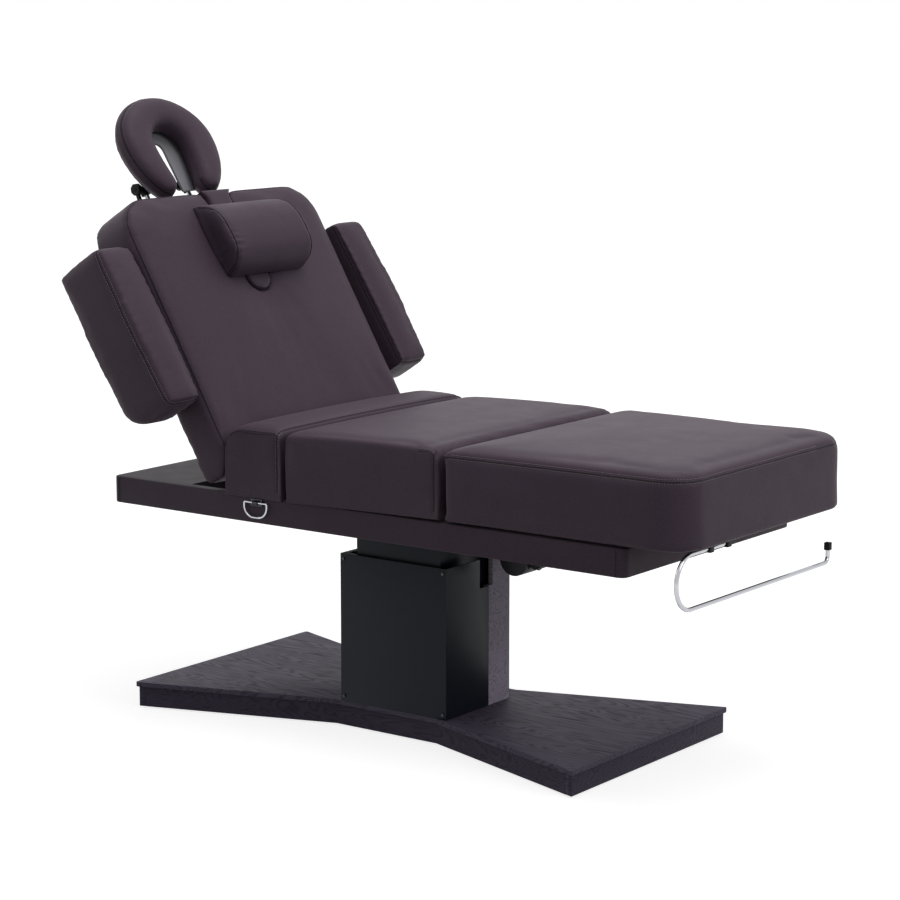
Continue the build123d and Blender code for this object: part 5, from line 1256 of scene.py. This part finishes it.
class SPABED_OT_stage(bpy.types.Operator):
    """Floor, lamps, backdrop light and the camera"""
    bl_idname = "spa_bed.stage"
    bl_label = "Stage"

    # each softbox: its place, what it points at, its width and height, and its power
    LAMPS = {
        "softbox_top": ((0.3, 0.2, 4.2), (0.1, 0, 0.5), (3.4, 2.6), 70.0),
        "softbox_front": ((4.4, -0.3, 3.0), (0.0, 0, 0.7), (2.0, 1.6), 36.0),
        "softbox_head": ((-3.8, -2.2, 2.6), (-0.2, 0, 0.8), (1.6, 1.6), 15.0),
    }
    FLOOR_HALF = 30.0
    CAMERA_PLACE = (3.6790, -4.8778, 1.6862)
    CAMERA_TURN, CAMERA_DIP = math.radians(36.5), math.radians(9.7)
    CAMERA_LENS, CAMERA_SENSOR = 107.86, 36.0

    def execute(self, context):
        scene = context.scene
        scene.view_settings.view_transform = "Standard"
        form = bmesh.new()
        bmesh.ops.create_grid(form, x_segments=2, y_segments=2, size=self.FLOOR_HALF)
        floor = piece_of(form, "studio_floor")
        floor.data.materials.append(self.backdrop())
        self.world(scene)
        for name, (place, aim, size, power) in self.LAMPS.items():
            lamp = bpy.data.lights.new(name, "AREA")
            lamp.shape = "RECTANGLE"
            lamp.size, lamp.size_y = size
            lamp.energy = power
            self.hold(scene, name, lamp, place, Vector(aim) - Vector(place))
        camera = bpy.data.cameras.new("camera")
        camera.lens = self.CAMERA_LENS
        camera.sensor_width = self.CAMERA_SENSOR
        turn, dip = self.CAMERA_TURN, self.CAMERA_DIP
        back = Vector((math.sin(turn) * math.cos(dip), -math.cos(turn) * math.cos(dip),
                       math.sin(dip)))
        scene.camera = self.hold(scene, "camera", camera, self.CAMERA_PLACE, -back)
        return {"FINISHED"}

    def hold(self, scene, name, data, place, look):
        """Stands a lamp or the camera at its place, turned along its look."""
        holder = bpy.data.objects.new(name, data)
        holder.location = place
        holder.rotation_mode = "QUATERNION"
        holder.rotation_quaternion = look.to_track_quat("-Z", "Y")
        scene.collection.objects.link(holder)
        return holder

    def seen(self, tree):
        """1 for rays from the camera and for those that metal and glass send on."""
        path = add_node(tree, "ShaderNodeLightPath")
        some = add_node(tree, "ShaderNodeMath", {"operation": "MAXIMUM"}, None,
                        {0: path.outputs["Is Camera Ray"], 1: path.outputs["Is Glossy Ray"]})
        every = add_node(tree, "ShaderNodeMath", {"operation": "MAXIMUM"}, None,
                         {0: some.outputs["Value"], 1: path.outputs["Is Transmission Ray"]})
        return every.outputs["Value"]

    def backdrop(self):
        """Matt paper: it keeps the soft shadow, and glows so that it reads as white, a little
        less near the bed, where the shadow lies."""
        material = bpy.data.materials.new("backdrop_paper")
        material.use_nodes = True
        tree = material.node_tree
        tree.nodes.clear()
        paper = add_node(tree, "ShaderNodeBsdfDiffuse", None, {"Color": linear("C8C8C8")})
        dim = add_node(tree, "ShaderNodeBsdfDiffuse", None, {"Color": linear("8C8C8C")})
        place = add_node(tree, "ShaderNodeTexCoord")
        reach = add_node(tree, "ShaderNodeVectorMath", {"operation": "LENGTH"}, None,
                         {0: place.outputs["Object"]})
        even = add_node(tree, "ShaderNodeMapRange", None,
                        {"From Min": 1.0, "From Max": 4.0, "To Min": 0.8, "To Max": 1.0},
                        {"Value": reach.outputs["Value"]})
        glow = add_node(tree, "ShaderNodeEmission", None, {"Color": linear("FFFFFF")},
                        {"Strength": even.outputs["Result"]})
        lit = add_node(tree, "ShaderNodeAddShader", None, None,
                       {0: paper.outputs[0], 1: glow.outputs[0]})
        mix = add_node(tree, "ShaderNodeMixShader", None, None,
                       {0: self.seen(tree), 1: dim.outputs[0], 2: lit.outputs[0]})
        add_node(tree, "ShaderNodeOutputMaterial", None, None, {"Surface": mix.outputs[0]})
        return material

    def world(self, scene):
        """An even grey room for the light, and white where the camera and the chrome look."""
        world = bpy.data.worlds.new("studio")
        scene.world = world
        world.use_nodes = True
        tree = world.node_tree
        tree.nodes.clear()
        white = linear("FFFFFF")
        room = add_node(tree, "ShaderNodeBackground", None, {"Color": white, "Strength": 0.24})
        seen = add_node(tree, "ShaderNodeBackground", None, {"Color": white, "Strength": 1.0})
        mix = add_node(tree, "ShaderNodeMixShader", None, None,
                       {0: self.seen(tree), 1: room.outputs[0], 2: seen.outputs[0]})
        add_node(tree, "ShaderNodeOutputWorld", None, None, {"Surface": mix.outputs[0]})


class SPABED_PT_panel(bpy.types.Panel):
    """Lists the steps that dress the bed"""
    bl_idname = "SPABED_PT_panel"
    bl_label = "Spa Bed"
    bl_space_type = "VIEW_3D"
    bl_region_type = "UI"
    bl_category = "Spa Bed"

    def draw(self, context):
        for step in STEPS:
            self.layout.operator(step.bl_idname)
        for group in (context.scene.spa_bed_sizes, context.scene.spa_bed_finishes):
            for name in group.__annotations__:
                self.layout.prop(group, name)


STEPS = (
    SPABED_OT_stage,
    SPABED_OT_seat_pads,
    SPABED_OT_back_pad,
    SPABED_OT_armrests,
    SPABED_OT_head_pads,
    SPABED_OT_frame_cover,
    SPABED_OT_sewing,
    SPABED_OT_bright_wire,
    SPABED_OT_hard_finishes,
)
CLASSES = (SpaBedSizes, SpaBedFinishes, *STEPS, SPABED_PT_panel)


def register():
    for item in CLASSES:
        bpy.utils.register_class(item)
    bpy.types.Scene.spa_bed_sizes = PointerProperty(type=SpaBedSizes)
    bpy.types.Scene.spa_bed_finishes = PointerProperty(type=SpaBedFinishes)


def unregister():
    del bpy.types.Scene.spa_bed_finishes
    del bpy.types.Scene.spa_bed_sizes
    for item in reversed(CLASSES):
        bpy.utils.unregister_class(item)


def main():
    register()
    bpy.ops.spa_bed.stage()
    bpy.ops.spa_bed.seat_pads()
    bpy.ops.spa_bed.back_pad()
    bpy.ops.spa_bed.armrests()
    bpy.ops.spa_bed.head_pads()
    bpy.ops.spa_bed.frame_cover()
    bpy.ops.spa_bed.sewing()
    bpy.ops.spa_bed.bright_wire()
    bpy.ops.spa_bed.hard_finishes()


if __name__ == "__main__":
    main()
